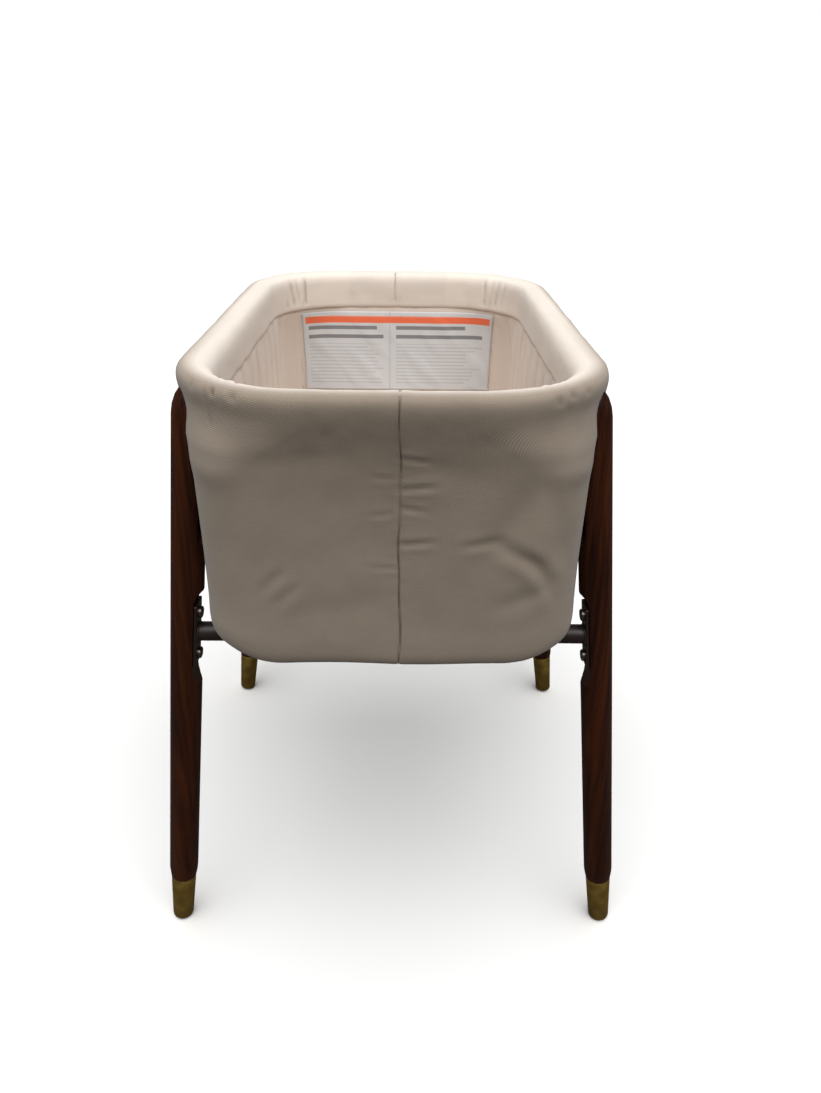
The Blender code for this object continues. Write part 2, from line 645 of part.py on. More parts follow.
def make_mattress():
    """A padded mattress core inside a fitted sheet that is open underneath."""
    bottom = 0.5042
    core = mattress_stations(SHEET_THICKNESS + GAP, bottom)
    add("mattress_core", loft("core", core, close_first=True, close_last=True), foam_yellow)
    skin = mattress_stations(0.0, bottom)
    hem = (MATTRESS_HALF[0] - 0.035, MATTRESS_HALF[1] - 0.035, MATTRESS_CORNER - 0.018, bottom)
    mesh = loft("sheet", skin + [hem], close_first=True)
    side = max(mesh.polygons, key=lambda f: f.center.x - 10 * abs(f.normal.z))
    if side.normal.x < 0:
        mesh.flip_normals()
    thicken(add("fitted_sheet", mesh, sheet_cotton), SHEET_THICKNESS)


def make_label():
    wall = TUB_HALF_Y - LINER_INSET - LINER_THICKNESS
    width, height = LABEL_SIZE
    near = wall - LABEL_STAND_OFF - LABEL_THICKNESS
    add("sewn_label", box("label", (-width / 2, near, LABEL_MIDDLE - height / 2),
                          (width / 2, near + LABEL_THICKNESS, LABEL_MIDDLE + height / 2)), label_satin)


frames = foot_frames()
slots = hanger_slots(frames)
make_legs(frames, saddle_cutter())
make_tips_and_glides(frames)
make_flanges(frames)
make_bars(frames)
make_hangers(frames, rail_cutter())
make_bolts(frames)
make_rails()
make_spigots_and_buttons()
make_foam(slots)
make_cover(slots)
make_padding()
make_liner()
make_board()
make_mattress()
make_label()
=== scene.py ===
import math

import bmesh
import bpy
import numpy as np
from mathutils import Matrix, Vector, noise


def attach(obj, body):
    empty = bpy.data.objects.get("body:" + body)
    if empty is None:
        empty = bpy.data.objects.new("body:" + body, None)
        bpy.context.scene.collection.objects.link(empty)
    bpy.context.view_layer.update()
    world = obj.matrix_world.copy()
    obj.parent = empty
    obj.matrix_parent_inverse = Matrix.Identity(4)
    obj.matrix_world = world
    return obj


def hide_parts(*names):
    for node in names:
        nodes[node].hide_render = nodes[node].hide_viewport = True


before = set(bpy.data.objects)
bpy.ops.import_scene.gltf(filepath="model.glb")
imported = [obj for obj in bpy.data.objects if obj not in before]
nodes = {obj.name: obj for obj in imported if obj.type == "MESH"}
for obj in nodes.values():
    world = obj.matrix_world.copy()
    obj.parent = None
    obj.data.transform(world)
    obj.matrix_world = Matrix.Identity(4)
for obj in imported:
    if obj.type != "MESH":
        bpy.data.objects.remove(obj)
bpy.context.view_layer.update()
scene = bpy.context.scene
print("frame loaded,", len(nodes), "nodes")


def placed(name, data):
    made = bpy.data.objects.new(name, data)
    scene.collection.objects.link(made)
    return made


def dress(made, material, body="stand_and_tub"):
    # the piece's finish, its colour slot and the body it moves with
    made.data.materials.clear()
    made.data.materials.append(material)
    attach(made, body)


# camera, floor and studio light

studio = {
    "cameraPlace": (0.0120, -1.0885, 1.0137),
    "cameraDown": math.radians(27.0),
    "cameraToRight": math.radians(0.60),
    "cameraRoll": math.radians(0.78),
    "lens": 27.04,
    "floorHalf": 40.0,
    "floorColor": (0.86, 0.86, 0.855),
    "floorBounce": (0.085, 0.08, 0.075),
    "sunStrength": 4.2,
    "sunFrom": (0.02, -0.32, 1.0),
    "sunAngle": math.radians(80),
    "roomLight": 0.15,
    "roomWhite": 1.0,
}


def splitView(tree, outKind, shaderKind, bounced, seen):
    # one shader for bounced light and another for what the camera sees directly
    tree.nodes.clear()
    out = tree.nodes.new("ShaderNode" + outKind)
    mix = tree.nodes.new("ShaderNodeMixShader")
    path = tree.nodes.new("ShaderNodeLightPath")
    tree.links.new(path.outputs["Is Camera Ray"], mix.inputs["Fac"])
    for side, values in enumerate((bounced, seen), start=1):
        shader = tree.nodes.new("ShaderNode" + shaderKind)
        for socket, value in values.items():
            shader.inputs[socket].default_value = value
        tree.links.new(shader.outputs[0], mix.inputs[side])
    tree.links.new(mix.outputs[0], out.inputs["Surface"])


def makeStudio():
    lens = bpy.data.cameras.new("studioCamera")
    lens.lens = studio["lens"]
    lens.sensor_width = 36.0
    lens.clip_end = 200.0
    camera = placed("studioCamera", lens)
    camera.matrix_world = (Matrix.Translation(studio["cameraPlace"])
                           @ Matrix.Rotation(-studio["cameraToRight"], 4, "Z")
                           @ Matrix.Rotation(math.pi / 2 - studio["cameraDown"], 4, "X")
                           @ Matrix.Rotation(studio["cameraRoll"], 4, "Z"))
    scene.camera = camera

    sun = bpy.data.lights.new("softSun", "SUN")
    sun.energy = studio["sunStrength"]
    sun.angle = studio["sunAngle"]
    lamp = placed("softSun", sun)
    lamp.rotation_euler = Vector(studio["sunFrom"]).to_track_quat("Z", "Y").to_euler()

    room = bpy.data.worlds.new("paleRoom")
    room.use_nodes = True
    splitView(room.node_tree, "OutputWorld", "Background",
              {"Color": (1.0, 0.99, 0.975, 1), "Strength": studio["roomLight"]},
              {"Color": (1, 1, 1, 1), "Strength": studio["roomWhite"]})
    scene.world = room

    bpy.ops.object.select_all(action="DESELECT")
    bpy.ops.mesh.primitive_plane_add(size=2 * studio["floorHalf"], location=(0, 0, 0))
    floor = bpy.context.object
    floor.name = "studioFloor"
    paper = bpy.data.materials.new("paleFloor")
    paper.use_nodes = True
    splitView(paper.node_tree, "OutputMaterial", "BsdfDiffuse",
              {"Color": (*studio["floorBounce"], 1)}, {"Color": (*studio["floorColor"], 1)})
    floor.data.materials.append(paper)
    scene.view_settings.view_transform = "Standard"
    scene.view_settings.look = "None"


makeStudio()
print("studio ready")

# finishes


class Finish:
    # a material with short calls for its nodes
    def __init__(self, name, color, roughness, metallic=0.0, **fixed):
        self.made = bpy.data.materials.new(name)
        self.made.use_nodes = True
        self.tree = self.made.node_tree
        self.shader = self.tree.nodes["Principled BSDF"]
        self.shader.inputs["Base Color"].default_value = (*color, 1)
        self.shader.inputs["Roughness"].default_value = roughness
        self.shader.inputs["Metallic"].default_value = metallic
        for socket, value in fixed.items():
            self.shader.inputs[socket.replace("_", " ")].default_value = value
        self.heights = []

    def node(self, kind, settings=(), **inputs):
        made = self.tree.nodes.new("ShaderNode" + kind)
        for key, value in dict(settings).items():
            setattr(made, key, value)
        for key, value in inputs.items():
            self.put(value, made.inputs[key.replace("_", " ")])
        return made

    def put(self, value, socket):
        if isinstance(value, bpy.types.NodeSocket):
            self.tree.links.new(value, socket)
        elif socket.type == "RGBA" and len(value) == 3:
            socket.default_value = (*value, 1)
        else:
            socket.default_value = value

    def place(self, scale=(1, 1, 1), turn=(0, 0, 0), uv=None):
        if uv:
            start = self.node("UVMap", {"uv_map": uv}).outputs["UV"]
        else:
            start = self.node("TexCoord").outputs["Object"]
        return self.node("Mapping", Vector=start, Scale=scale, Rotation=turn).outputs["Vector"]

    def noise(self, vector, scale, detail=3.0, rough=0.55, warp=0.0):
        return self.node("TexNoise", Vector=vector, Scale=scale, Detail=detail, Roughness=rough,
                         Distortion=warp).outputs["Fac"]

    def wave(self, vector, scale, direction="X", warp=0.0, detail=1.0):
        return self.node("TexWave", {"bands_direction": direction}, Vector=vector, Scale=scale,
                         Distortion=warp, Detail=detail, Detail_Scale=1.0).outputs["Fac"]

    def ramp(self, value, low, high, lowOut=0.0, highOut=1.0):
        ranged = self.node("MapRange", {"interpolation_type": "SMOOTHSTEP"})
        self.put(value, ranged.inputs["Value"])
        for name, number in (("From Min", low), ("From Max", high), ("To Min", lowOut), ("To Max", highOut)):
            ranged.inputs[name].default_value = number
        return ranged.outputs["Result"]

    def math(self, how, a, b=0.5):
        made = self.node("Math", {"operation": how})
        self.put(a, made.inputs[0])
        self.put(b, made.inputs[1])
        return made.outputs[0]

    def times(self, a, b):
        return self.math("MULTIPLY", a, b)

    def total(self, *parts):
        # (value, weight) pairs added up
        added = self.times(*parts[0])
        for value, weight in parts[1:]:
            added = self.math("ADD", added, self.times(value, weight))
        return added

    def blend(self, share, first, second):
        made = self.node("Mix", {"data_type": "RGBA", "blend_type": "MIX"})
        self.put(share, made.inputs[0])
        self.put(first, made.inputs[6])
        self.put(second, made.inputs[7])
        return made.outputs[2]

    def raised(self, height, distance, strength=1.0):
        made = self.node("Bump", Height=height, Distance=distance, Strength=strength)
        if self.heights:
            self.tree.links.new(self.heights[-1], made.inputs["Normal"])
        self.heights.append(made.outputs["Normal"])
        self.tree.links.new(made.outputs["Normal"], self.shader.inputs["Normal"])

    def color(self, value):
        self.put(value, self.shader.inputs["Base Color"])

    def roughness(self, value):
        self.put(value, self.shader.inputs["Roughness"])


clothColors = {
    # painted light and shade: the outside colours are a darkened copy, and the inside and wall colours
    # lightened copies, of one beige twill
    "outside": (0.345, 0.284, 0.226),
    "shadedOutsideDeep": (0.255, 0.203, 0.155),
    "inside": (0.830, 0.745, 0.668),
    "litInsideDeep": (0.745, 0.660, 0.580),
    "wall": (0.740, 0.640, 0.560),
    "litWallDeep": (0.655, 0.555, 0.475),
    "sheet": (0.700, 0.640, 0.575),
    "sheetDeep": (0.610, 0.545, 0.480),
    # near-black colour blended into seams and folds as painted shade
    "creaseShade": (0.060, 0.045, 0.036),
}


def twillFinish(name, pale, deep, inner=None, litInnerDeep=None, rib=0.0016, height=0.00022):
    # diagonal twill on the cloth's own flat layout, in metres
    cloth = Finish(name, pale, 0.92, Sheen_Weight=0.22, Sheen_Roughness=0.55, Specular_IOR_Level=0.22)
    flat = cloth.place(uv="cloth")
    ribs = cloth.wave(flat, math.tau / (14.142 * rib), "DIAGONAL", 0.6, 2.0)
    picks = cloth.wave(flat, math.tau / (20 * rib * 0.62), "X", 0.4)
    fibre = cloth.noise(cloth.place(), 1400.0, 2.0)
    slub = cloth.noise(cloth.place(uv="cloth", scale=(1.0, 9.0, 1.0)), 60.0, 3.0)
    broad = cloth.noise(cloth.place(), 7.0, 4.0)
    weave = cloth.total((ribs, 0.7), (picks, 0.3))
    tone = cloth.total((weave, 0.55), (slub, 0.32), (broad, 0.22))
    share = cloth.ramp(tone, 0.25, 0.80)
    color = cloth.blend(share, deep, pale)
    # painted light: where the lining attribute rises, the cloth takes the paler inside colours, a lit copy of
    # the same twill
    if inner:
        towards = cloth.node("Attribute", {"attribute_name": "lining"}).outputs["Fac"]
        color = cloth.blend(towards, color, cloth.blend(share, litInnerDeep, inner))
    # painted shade: stitched seams, tight pleats, folds and dents are darkened towards a near-black colour by
    # how deep they sink
    creaseShade = cloth.node("Attribute", {"attribute_name": "creaseShade"}).outputs["Fac"]
    color = cloth.blend(cloth.times(creaseShade, 0.62), color, clothColors["creaseShade"])
    cloth.color(color)
    cloth.roughness(cloth.ramp(broad, 0.3, 0.7, 0.86, 0.96))
    cloth.raised(broad, 0.0020, 0.35)
    cloth.raised(weave, height, 0.9)
    cloth.raised(fibre, 0.00012, 0.5)
    return cloth.made


def plainWeaveFinish(name, pale, deep, pitch=0.0011):
    cloth = Finish(name, pale, 0.93, Sheen_Weight=0.2, Sheen_Roughness=0.6, Specular_IOR_Level=0.2)
    place = cloth.place()
    warpThread = cloth.wave(place, math.tau / (20 * pitch), "X", 0.5)
    weft = cloth.wave(place, math.tau / (20 * pitch), "Y", 0.5)
    weave = cloth.math("MAXIMUM", warpThread, weft)
    broad = cloth.noise(place, 9.0, 4.0)
    fibre = cloth.noise(place, 1200.0, 2.0)
    tone = cloth.total((weave, 0.4), (broad, 0.6))
    cloth.color(cloth.blend(cloth.ramp(tone, 0.3, 0.8), deep, pale))
    cloth.roughness(cloth.ramp(broad, 0.3, 0.7, 0.88, 0.97))
    cloth.raised(weave, 0.00016, 0.8)
    cloth.raised(fibre, 0.00010, 0.4)
    return cloth.made


# the outer cover: one sheet over the padded rim, down the walls and under the floor

cover = {
    "rimHalf": (0.209, 0.339),
    "rimCorner": 0.129,
    "topHalf": (0.2035, 0.337),
    "lowHalf": (0.208, 0.337),
    "corner": 0.064,
    "floor": 0.4945,
    "thickness": 0.002,
    "rows": 130,
    "endColumns": 132,
    "cornerColumns": 60,
    "sideColumns": 66,
    "droop": 0.0158,
    "flat": (1.14, 1.40),
    "flatArea": 1.05,
}
legPlace = {"y": 0.270, "reach": 0.034, "press": 0.021}


# how far the cloth stands out from the rim's rail, and its height, from the band seam over the top and down
rimInside = {
    "near": [(-0.0166, 0.7455), (-0.0178, 0.7470), (-0.0183, 0.7530), (-0.0185, 0.7640), (-0.0182, 0.7755),
             (-0.0165, 0.7835), (-0.0112, 0.7908), (-0.0030, 0.7946), (0.0040, 0.7955), (0.0100, 0.7957)],
    "far": [(-0.0166, 0.7455), (-0.0178, 0.7470), (-0.0184, 0.7530), (-0.0187, 0.7660), (-0.0189, 0.7790),
            (-0.0180, 0.7890), (-0.0142, 0.7960), (-0.0062, 0.7990), (0.0010, 0.7999), (0.0080, 0.8000)],
}
rimOutside = [(0.0145, 0.7985), (0.0182, 0.7948), (0.0204, 0.7895), (0.0211, 0.7835), (0.0207, 0.7765),
              (0.0194, 0.7695), (0.0173, 0.7610), (0.0148, 0.7520), (0.0121, 0.7420), (0.0096, 0.7320),
              (0.0074, 0.7220), (0.0056, 0.7110)]
rimCrest = 9


def coverStations(place):
    halfX, halfY = cover["rimHalf"]
    corner = cover["corner"]
    topX, topY = cover["topHalf"]
    lowX, lowY = cover["lowHalf"]
    rings = []
    # the near end is pulled a little lower over the top
    crown = {"near": 0.76, "far": 1.0}[place]
    for k, (out, height) in enumerate(rimInside[place] + rimOutside):
        if k > rimCrest and height > 0.7835:
            height = 0.7835 + (height - 0.7835) * crown
        below = max(0.0, (0.776 - height) / 0.062) if k > rimCrest else 0.0
        squarer = 0.061 * below * below * (3 - 2 * min(below, 1.0))
        inward = 0.0035 * below if k > rimCrest else 0.0
        rings.append((halfX + out - inward, halfY + out, cover["rimCorner"] + out - squarer, height))
    rings += [(topX + 0.0060, topY + 0.0052, corner + 0.003, 0.690),
              (topX + 0.0050, topY + 0.0034, corner + 0.001, 0.660),
              (topX + 0.0042, topY + 0.0014, corner, 0.620),
              (lowX, lowY, corner, 0.540),
              (lowX + 0.0004, lowY + 0.0004, corner, 0.518),
              (lowX - 0.0006, lowY - 0.0006, corner, 0.507),
              (lowX - 0.0040, lowY - 0.0040, corner - 0.003, 0.4985),
              (lowX - 0.0110, lowY - 0.0110, corner - 0.008, 0.4945),
              (lowX - 0.0260, lowY - 0.0260, corner - 0.016, 0.4935),
              (lowX - 0.0500, lowY - 0.0500, corner - 0.022, cover["floor"]),
              (lowX - 0.0950, lowY - 0.0950, corner - 0.032, cover["floor"])]
    return rings


def smoothRows(stations, rows):
    # stations resampled evenly along the profile, on a smooth curve
    points = np.array(stations, float)
    steps = np.hypot(np.diff(points[:, 1]), np.diff(points[:, 3]))
    along = np.concatenate([[0], np.cumsum(steps)])
    wanted = np.linspace(0, along[-1], rows)
    slopes = np.gradient(points, along, axis=0)
    k = np.clip(np.searchsorted(along, wanted, side="right") - 1, 0, len(along) - 2)
    span = (along[k + 1] - along[k])[:, None]
    t = ((wanted - along[k]) / span[:, 0])[:, None]
    made = ((2 * t**3 - 3 * t**2 + 1) * points[k] + (t**3 - 2 * t**2 + t) * span * slopes[k]
            + (-2 * t**3 + 3 * t**2) * points[k + 1] + (t**3 - t**2) * span * slopes[k + 1])
    return made, wanted


def crowd(share, middle, calm=0.35):
    # columns drawn together towards a seam
    t = (share - middle) / (middle if share < middle else 1 - middle)
    t = calm * t + (1 - calm) * math.copysign(abs(t)**1.9, t)
    return middle + t * (middle if share < middle else 1 - middle)


def columnsRound(ends, corners, sides, seams=(0.5, 0.5)):
    # (kind, share) of each column, anticlockwise from the middle of the right side
    half = sides // 2
    columns = [("right", t / half * 0.5 + 0.5) for t in range(half)]
    runs = (("rear", ends), ("left", sides), ("front", ends), ("right", half))
    for quarter, (kind, count) in enumerate(runs):
        columns += [(quarter, t / corners) for t in range(corners)]
        last = 0.5 if kind == "right" else 1.0
        columns += [(kind, t / count * last) for t in range(count)]
    places = {"rear": seams[0], "front": seams[1]}
    return [(kind, crowd(share, places[kind])) if kind in places and places[kind] else (kind, share)
            for kind, share in columns]


def ringOf(station, columns):
    halfX, halfY, corner, height = station
    straightX, straightY = halfX - corner, halfY - corner
    ring = []
    for kind, share in columns:
        if kind == "right":
            ring.append((halfX, straightY * (2 * share - 1), height))
        elif kind == "rear":
            ring.append((straightX * (1 - 2 * share), halfY, height))
        elif kind == "left":
            ring.append((-halfX, straightY * (1 - 2 * share), height))
        elif kind == "front":
            ring.append((straightX * (2 * share - 1), -halfY, height))
        else:
            angle = (kind + share) * math.pi / 2
            signX = 1 if kind in (0, 3) else -1
            signY = 1 if kind in (0, 1) else -1
            ring.append((signX * straightX + corner * math.cos(angle),
                         signY * straightY + corner * math.sin(angle), height))
    return ring


def gridOf(stations, columns):
    return np.array([ringOf(station, columns) for station in stations])


def gridNormals(grid):
    # outward for rings that run anticlockwise and rows that run from the inner seam over the roll and down
    acrossRows = np.gradient(grid, axis=0)
    round_ = np.roll(grid, -1, axis=1) - np.roll(grid, 1, axis=1)
    normals = np.cross(acrossRows, round_)
    return normals / np.maximum(np.linalg.norm(normals, axis=2, keepdims=True), 1e-12)


def softNoise(grid, scale, seed):
    flat = grid.reshape(-1, 3) * scale
    values = [noise.noise(Vector((x + seed, y - seed, z + 0.5 * seed))) for x, y, z in flat]
    return np.array(values).reshape(grid.shape[:2])


def fold(across, along, length, width, depth):
    # a valley with a low ridge on each side, fading out at its ends
    ends = np.exp(-np.abs(along / (0.5 * length))**3.0)
    valley = np.exp(-(across / width)**2)
    ridge = np.exp(-((np.abs(across) - 2.0 * width) / (1.3 * width))**2)
    return depth * ends * (0.42 * ridge - valley)


def foldAt(s, z, place, turn, length, width, depth):
    c, d = math.cos(math.radians(turn)), math.sin(math.radians(turn))
    ds, dz = s - place[0], z - place[1]
    return fold(-ds * d + dz * c, ds * c + dz * d, length, width, depth)


# (x, z), turn from level, length, width, depth
frontFolds = [
    ((0.024, 0.764), 4, 0.034, 0.0030, 0.0016),
    ((0.022, 0.729), -6, 0.030, 0.0026, 0.0014),
    ((0.026, 0.698), 5, 0.038, 0.0030, 0.0018),
    ((0.020, 0.674), -8, 0.030, 0.0026, 0.0013),
    ((0.024, 0.635), 6, 0.038, 0.0030, 0.0016),
    ((-0.008, 0.709), -5, 0.024, 0.0024, 0.0010),
    ((-0.009, 0.668), 6, 0.026, 0.0024, 0.0010),
    ((-0.008, 0.606), -4, 0.028, 0.0024, 0.0009),
    ((0.092, 0.636), 10, 0.040, 0.0045, 0.0013),
    ((0.132, 0.622), -30, 0.060, 0.0075, 0.0017),
    ((0.156, 0.604), -48, 0.056, 0.0070, 0.0018),
    ((0.164, 0.585), -62, 0.044, 0.0060, 0.0013),
    ((0.140, 0.572), 20, 0.060, 0.0085, 0.0013),
    ((0.120, 0.655), 60, 0.120, 0.0160, 0.0022),
    ((0.168, 0.660), -74, 0.130, 0.0130, 0.0016),
    ((-0.124, 0.590), 46, 0.036, 0.0055, 0.0011),
    ((-0.110, 0.575), 40, 0.032, 0.0055, 0.0010),
    ((-0.060, 0.560), 8, 0.110, 0.0140, 0.0012),
    ((-0.152, 0.690), 80, 0.130, 0.0150, 0.0013),
    ((0.060, 0.715), -14, 0.090, 0.0140, 0.0010),
    ((-0.090, 0.730), 8, 0.100, 0.0120, 0.0009),
]
rearFolds = [
    ((0.020, 0.742), 5, 0.030, 0.0022, 0.0014),
    ((-0.018, 0.700), -5, 0.028, 0.0022, 0.0013),
    ((0.019, 0.655), 7, 0.030, 0.0022, 0.0014),
    ((-0.016, 0.610), 4, 0.028, 0.0020, 0.0011),
    ((0.120, 0.600), 40, 0.050, 0.0050, 0.0020),
    ((-0.130, 0.590), -42, 0.050, 0.0050, 0.0020),
    ((-0.080, 0.690), 70, 0.110, 0.0110, 0.0016),
    ((0.090, 0.700), -70, 0.110, 0.0110, 0.0016),
]
# (y, z) on the two long sides
sideFolds = [
    ((-0.255, 0.600), 62, 0.080, 0.0060, 0.0022),
    ((-0.190, 0.690), 80, 0.120, 0.0110, 0.0020),
    ((-0.120, 0.560), 14, 0.090, 0.0070, 0.0018),
    ((-0.050, 0.720), 84, 0.090, 0.0100, 0.0018),
    ((0.040, 0.640), 74, 0.130, 0.0120, 0.0020),
    ((0.110, 0.555), -12, 0.100, 0.0080, 0.0018),
    ((0.170, 0.700), 100, 0.110, 0.0110, 0.0020),
    ((0.250, 0.610), 118, 0.080, 0.0060, 0.0022),
]


def coverRelief(grid, normals):
    # how far each point stands out from the tailored shape
    x, y, z = grid[..., 0], grid[..., 1], grid[..., 2]
    front = np.clip(-normals[..., 1] * 1.3 - 0.2, 0, 1) * (y < 0)
    rear = np.clip(normals[..., 1] * 1.3 - 0.2, 0, 1) * (y > 0)
    side = np.clip(np.abs(normals[..., 0]) * 1.3 - 0.2, 0, 1)
    wall = np.clip((0.762 - z) / 0.025, 0, 1) * np.clip((z - 0.500) / 0.02, 0, 1)
    tall = np.clip((z - 0.500) / 0.245, 0, 1)
    belly = np.sin(math.pi * tall)
    relief = np.zeros_like(x)
    for end, folds in ((front, frontFolds), (rear, rearFolds)):
        for place, turn, length, width, depth in folds:
            relief += end * wall * foldAt(x, z, place, turn, length, width, depth)
    for place, turn, length, width, depth in sideFolds:
        relief += side * wall * foldAt(y * np.sign(-x), z, place, turn, length, width, depth)
    # the two panels of each end swell a little on both sides of the centre seam
    halves = np.abs(np.sin(math.pi * np.clip(np.abs(x) / 0.20, 0, 1)))
    relief += (front + rear) * belly * halves * 0.0030
    relief += side * belly * 0.0025 * np.cos(y / 0.34 * math.pi / 2)
    # centre seam of each end, with small gathers beside it
    seamX = np.where(y < 0, 0.0085, -0.004) + 0.0010 * np.sin(z * 38) + 0.0005 * np.sin(z * 97)
    offset = x - seamX
    onEnds = (front + rear) * np.clip((0.800 - z) / 0.02, 0, 1) * np.clip((z - 0.492) / 0.01, 0, 1)
    topSeam = (np.abs(x) < 0.05) * (z > 0.757)
    seam = np.maximum(onEnds, topSeam)
    relief -= seam * 0.0030 * np.exp(-(offset / 0.0010)**2)
    relief += seam * 0.0004 * np.exp(-((np.abs(offset) - 0.006) / 0.005)**2)
    gathers = 0.5 + 0.5 * np.sin(z * 410 + 3.0 * np.sin(z * 61) + (offset > 0) * 1.9)
    relief -= seam * wall * 0.0004 * gathers**3 * np.exp(-(np.abs(offset) / 0.010)**2)
    # small pinches under the roll, where the wall is drawn in
    angle = np.arctan2(y, x)
    pinch = np.exp(-((z - 0.752) / 0.012)**2)
    relief -= 0.0008 * pinch * (0.5 + 0.5 * np.sin(angle * 31 + 3 * np.sin(angle * 11)))**2
    # upright pleats round the corners of the inner band, beside the seams of the far end
    band = np.clip((z - 0.750) / 0.008, 0, 1) * np.clip((0.799 - z) / 0.010, 0, 1) * (np.abs(x) < 0.222)
    band *= (np.abs(y) < 0.345) & (np.hypot(x / 0.209, y / 0.339) < 1.5)
    bandInner = band * ((np.abs(x) < 0.197) & (np.abs(y) < 0.329))
    pleatAt = np.abs(x) - np.where(x < 0, 0.150, 0.142)
    farEnd = np.clip((np.abs(y) - 0.24) / 0.03, 0, 1)
    relief -= bandInner * farEnd * 0.0022 * np.exp(-(pleatAt / 0.0022)**2)
    lean = 0.004 * (z - 0.77) / 0.03
    for shift, depth in ((0.010, 0.0015), (0.018, 0.0018), (0.027, 0.0012)):
        relief -= bandInner * farEnd * depth * np.exp(-((pleatAt - shift - lean) / 0.0028)**2)
    relief += bandInner * farEnd * 0.0012 * np.exp(-((pleatAt - 0.0055) / 0.003)**2)
    relief += wall * (0.0013 * softNoise(grid, 11.0, 3.1) + 0.0006 * softNoise(grid, 32.0, 7.7))
    onRoll = np.clip((z - 0.757) / 0.01, 0, 1)
    relief += onRoll * (0.0007 * softNoise(grid, 22.0, 1.3) + 0.0004 * softNoise(grid, 60.0, 5.9))
    for place, reach, depth in rollDimples:
        away = np.linalg.norm(grid - np.array(place), axis=2)
        relief -= depth * np.exp(-(away / reach)**2)
        relief += 0.12 * depth * np.exp(-((away - 1.8 * reach) / (0.8 * reach))**2)
    nearLeg = np.exp(-((np.abs(y) - legPlace["y"]) / legPlace["reach"])**4) * (np.abs(x) > 0.19)
    return np.where(relief > 0, relief * (1 - 0.9 * nearLeg), relief)


rollDimples = [
    ((-0.197, -0.303, 0.789), 0.0040, 0.0014),
    ((-0.172, -0.329, 0.790), 0.0038, 0.0016),
    ((-0.149, -0.342, 0.789), 0.0042, 0.0022),
    ((0.193, -0.309, 0.788), 0.0040, 0.0018),
    ((0.176, -0.325, 0.789), 0.0040, 0.0020),
    ((0.160, -0.337, 0.786), 0.0046, 0.0022),
    ((0.190, 0.316, 0.798), 0.0060, 0.0034),
    ((0.168, 0.338, 0.798), 0.0055, 0.0032),
    ((-0.188, 0.318, 0.798), 0.0060, 0.0034),
    ((-0.170, 0.337, 0.798), 0.0055, 0.0032),
]


def clothMesh(name, grid, normals, thickness, flatRow, shares, flip=False):
    # the seen side in full, and the unseen side thinned out: every third row and column, joined at both edges
    rows, count = grid.shape[:2]
    keepRows = sorted(set(list(range(0, rows, 3)) + [rows - 1]))
    keepCols = list(range(0, count, 3))
    back = (grid - normals * thickness)[np.ix_(keepRows, keepCols)]
    verts = np.concatenate([grid.reshape(-1, 3), back.reshape(-1, 3)])
    start = rows * count
    few = len(keepCols)
    faces = []
    for r in range(rows - 1):
        for c in range(count):
            d = (c + 1) % count
            faces.append((r * count + c, (r + 1) * count + c, (r + 1) * count + d, r * count + d))
    for r in range(len(keepRows) - 1):
        for c in range(few):
            d = (c + 1) % few
            faces.append((start + r * few + c, start + r * few + d,
                          start + (r + 1) * few + d, start + (r + 1) * few + c))
    for c in range(few):
        low, high = keepCols[c], keepCols[c] + 3
        strip = [k % count for k in range(low, high + 1)]
        d = (c + 1) % few
        faces.append((*strip, start + d, start + c))
    lastSeen = [(rows - 1) * count + c for c in range(count)]
    faces.append(tuple(lastSeen))
    lastBack = start + (len(keepRows) - 1) * few
    faces.append(tuple(lastBack + c for c in reversed(range(few))))
    if flip:
        faces = [tuple(reversed(face)) for face in faces]
    mesh = bpy.data.meshes.new(name)
    mesh.from_pydata(verts.tolist(), [], faces)
    mesh.validate()
    # the cloth's flat layout, in metres
    around = np.linalg.norm(np.roll(grid, -1, axis=1) - grid, axis=2)[rows // 2]
    roundAlong = np.concatenate([[0], np.cumsum(around)])
    layout = mesh.uv_layers.new(name="cloth")
    loops = np.empty(len(mesh.loops), np.int32)
    mesh.loops.foreach_get("vertex_index", loops)
    col = np.where(loops < start, loops % count, 0)
    row = np.where(loops < start, loops // count, 0)
    backCol = np.where(loops >= start, np.array(keepCols)[(loops - start) % few], 0)
    rowOnBack = np.clip((loops - start) // few, 0, len(keepRows) - 1)
    backRow = np.where(loops >= start, np.array(keepRows)[rowOnBack], 0)
    u = roundAlong[np.where(loops < start, col, backCol)]
    v = flatRow[np.where(loops < start, row, backRow)]
    wrapped = np.zeros(len(loops), bool)
    for polygon in mesh.polygons:
        if polygon.loop_total > 6:
            continue
        span = u[polygon.loop_start:polygon.loop_start + polygon.loop_total]
        if span.max() - span.min() > 0.5 * roundAlong[-1]:
            for k in range(polygon.loop_start, polygon.loop_start + polygon.loop_total):
                wrapped[k] = u[k] < 0.5 * roundAlong[-1]
    u = u + wrapped * roundAlong[-1]
    layout.data.foreach_set("uv", np.stack([u, v], axis=1).astype(np.float32).reshape(-1))
    for label, share in shares.items():
        values = np.concatenate([share.reshape(-1), share[np.ix_(keepRows, keepCols)].reshape(-1)])
        mesh.attributes.new(label, "FLOAT", "POINT").data.foreach_set("value", values.astype(np.float32))
    mesh.shade_smooth()
    return placed(name, mesh)


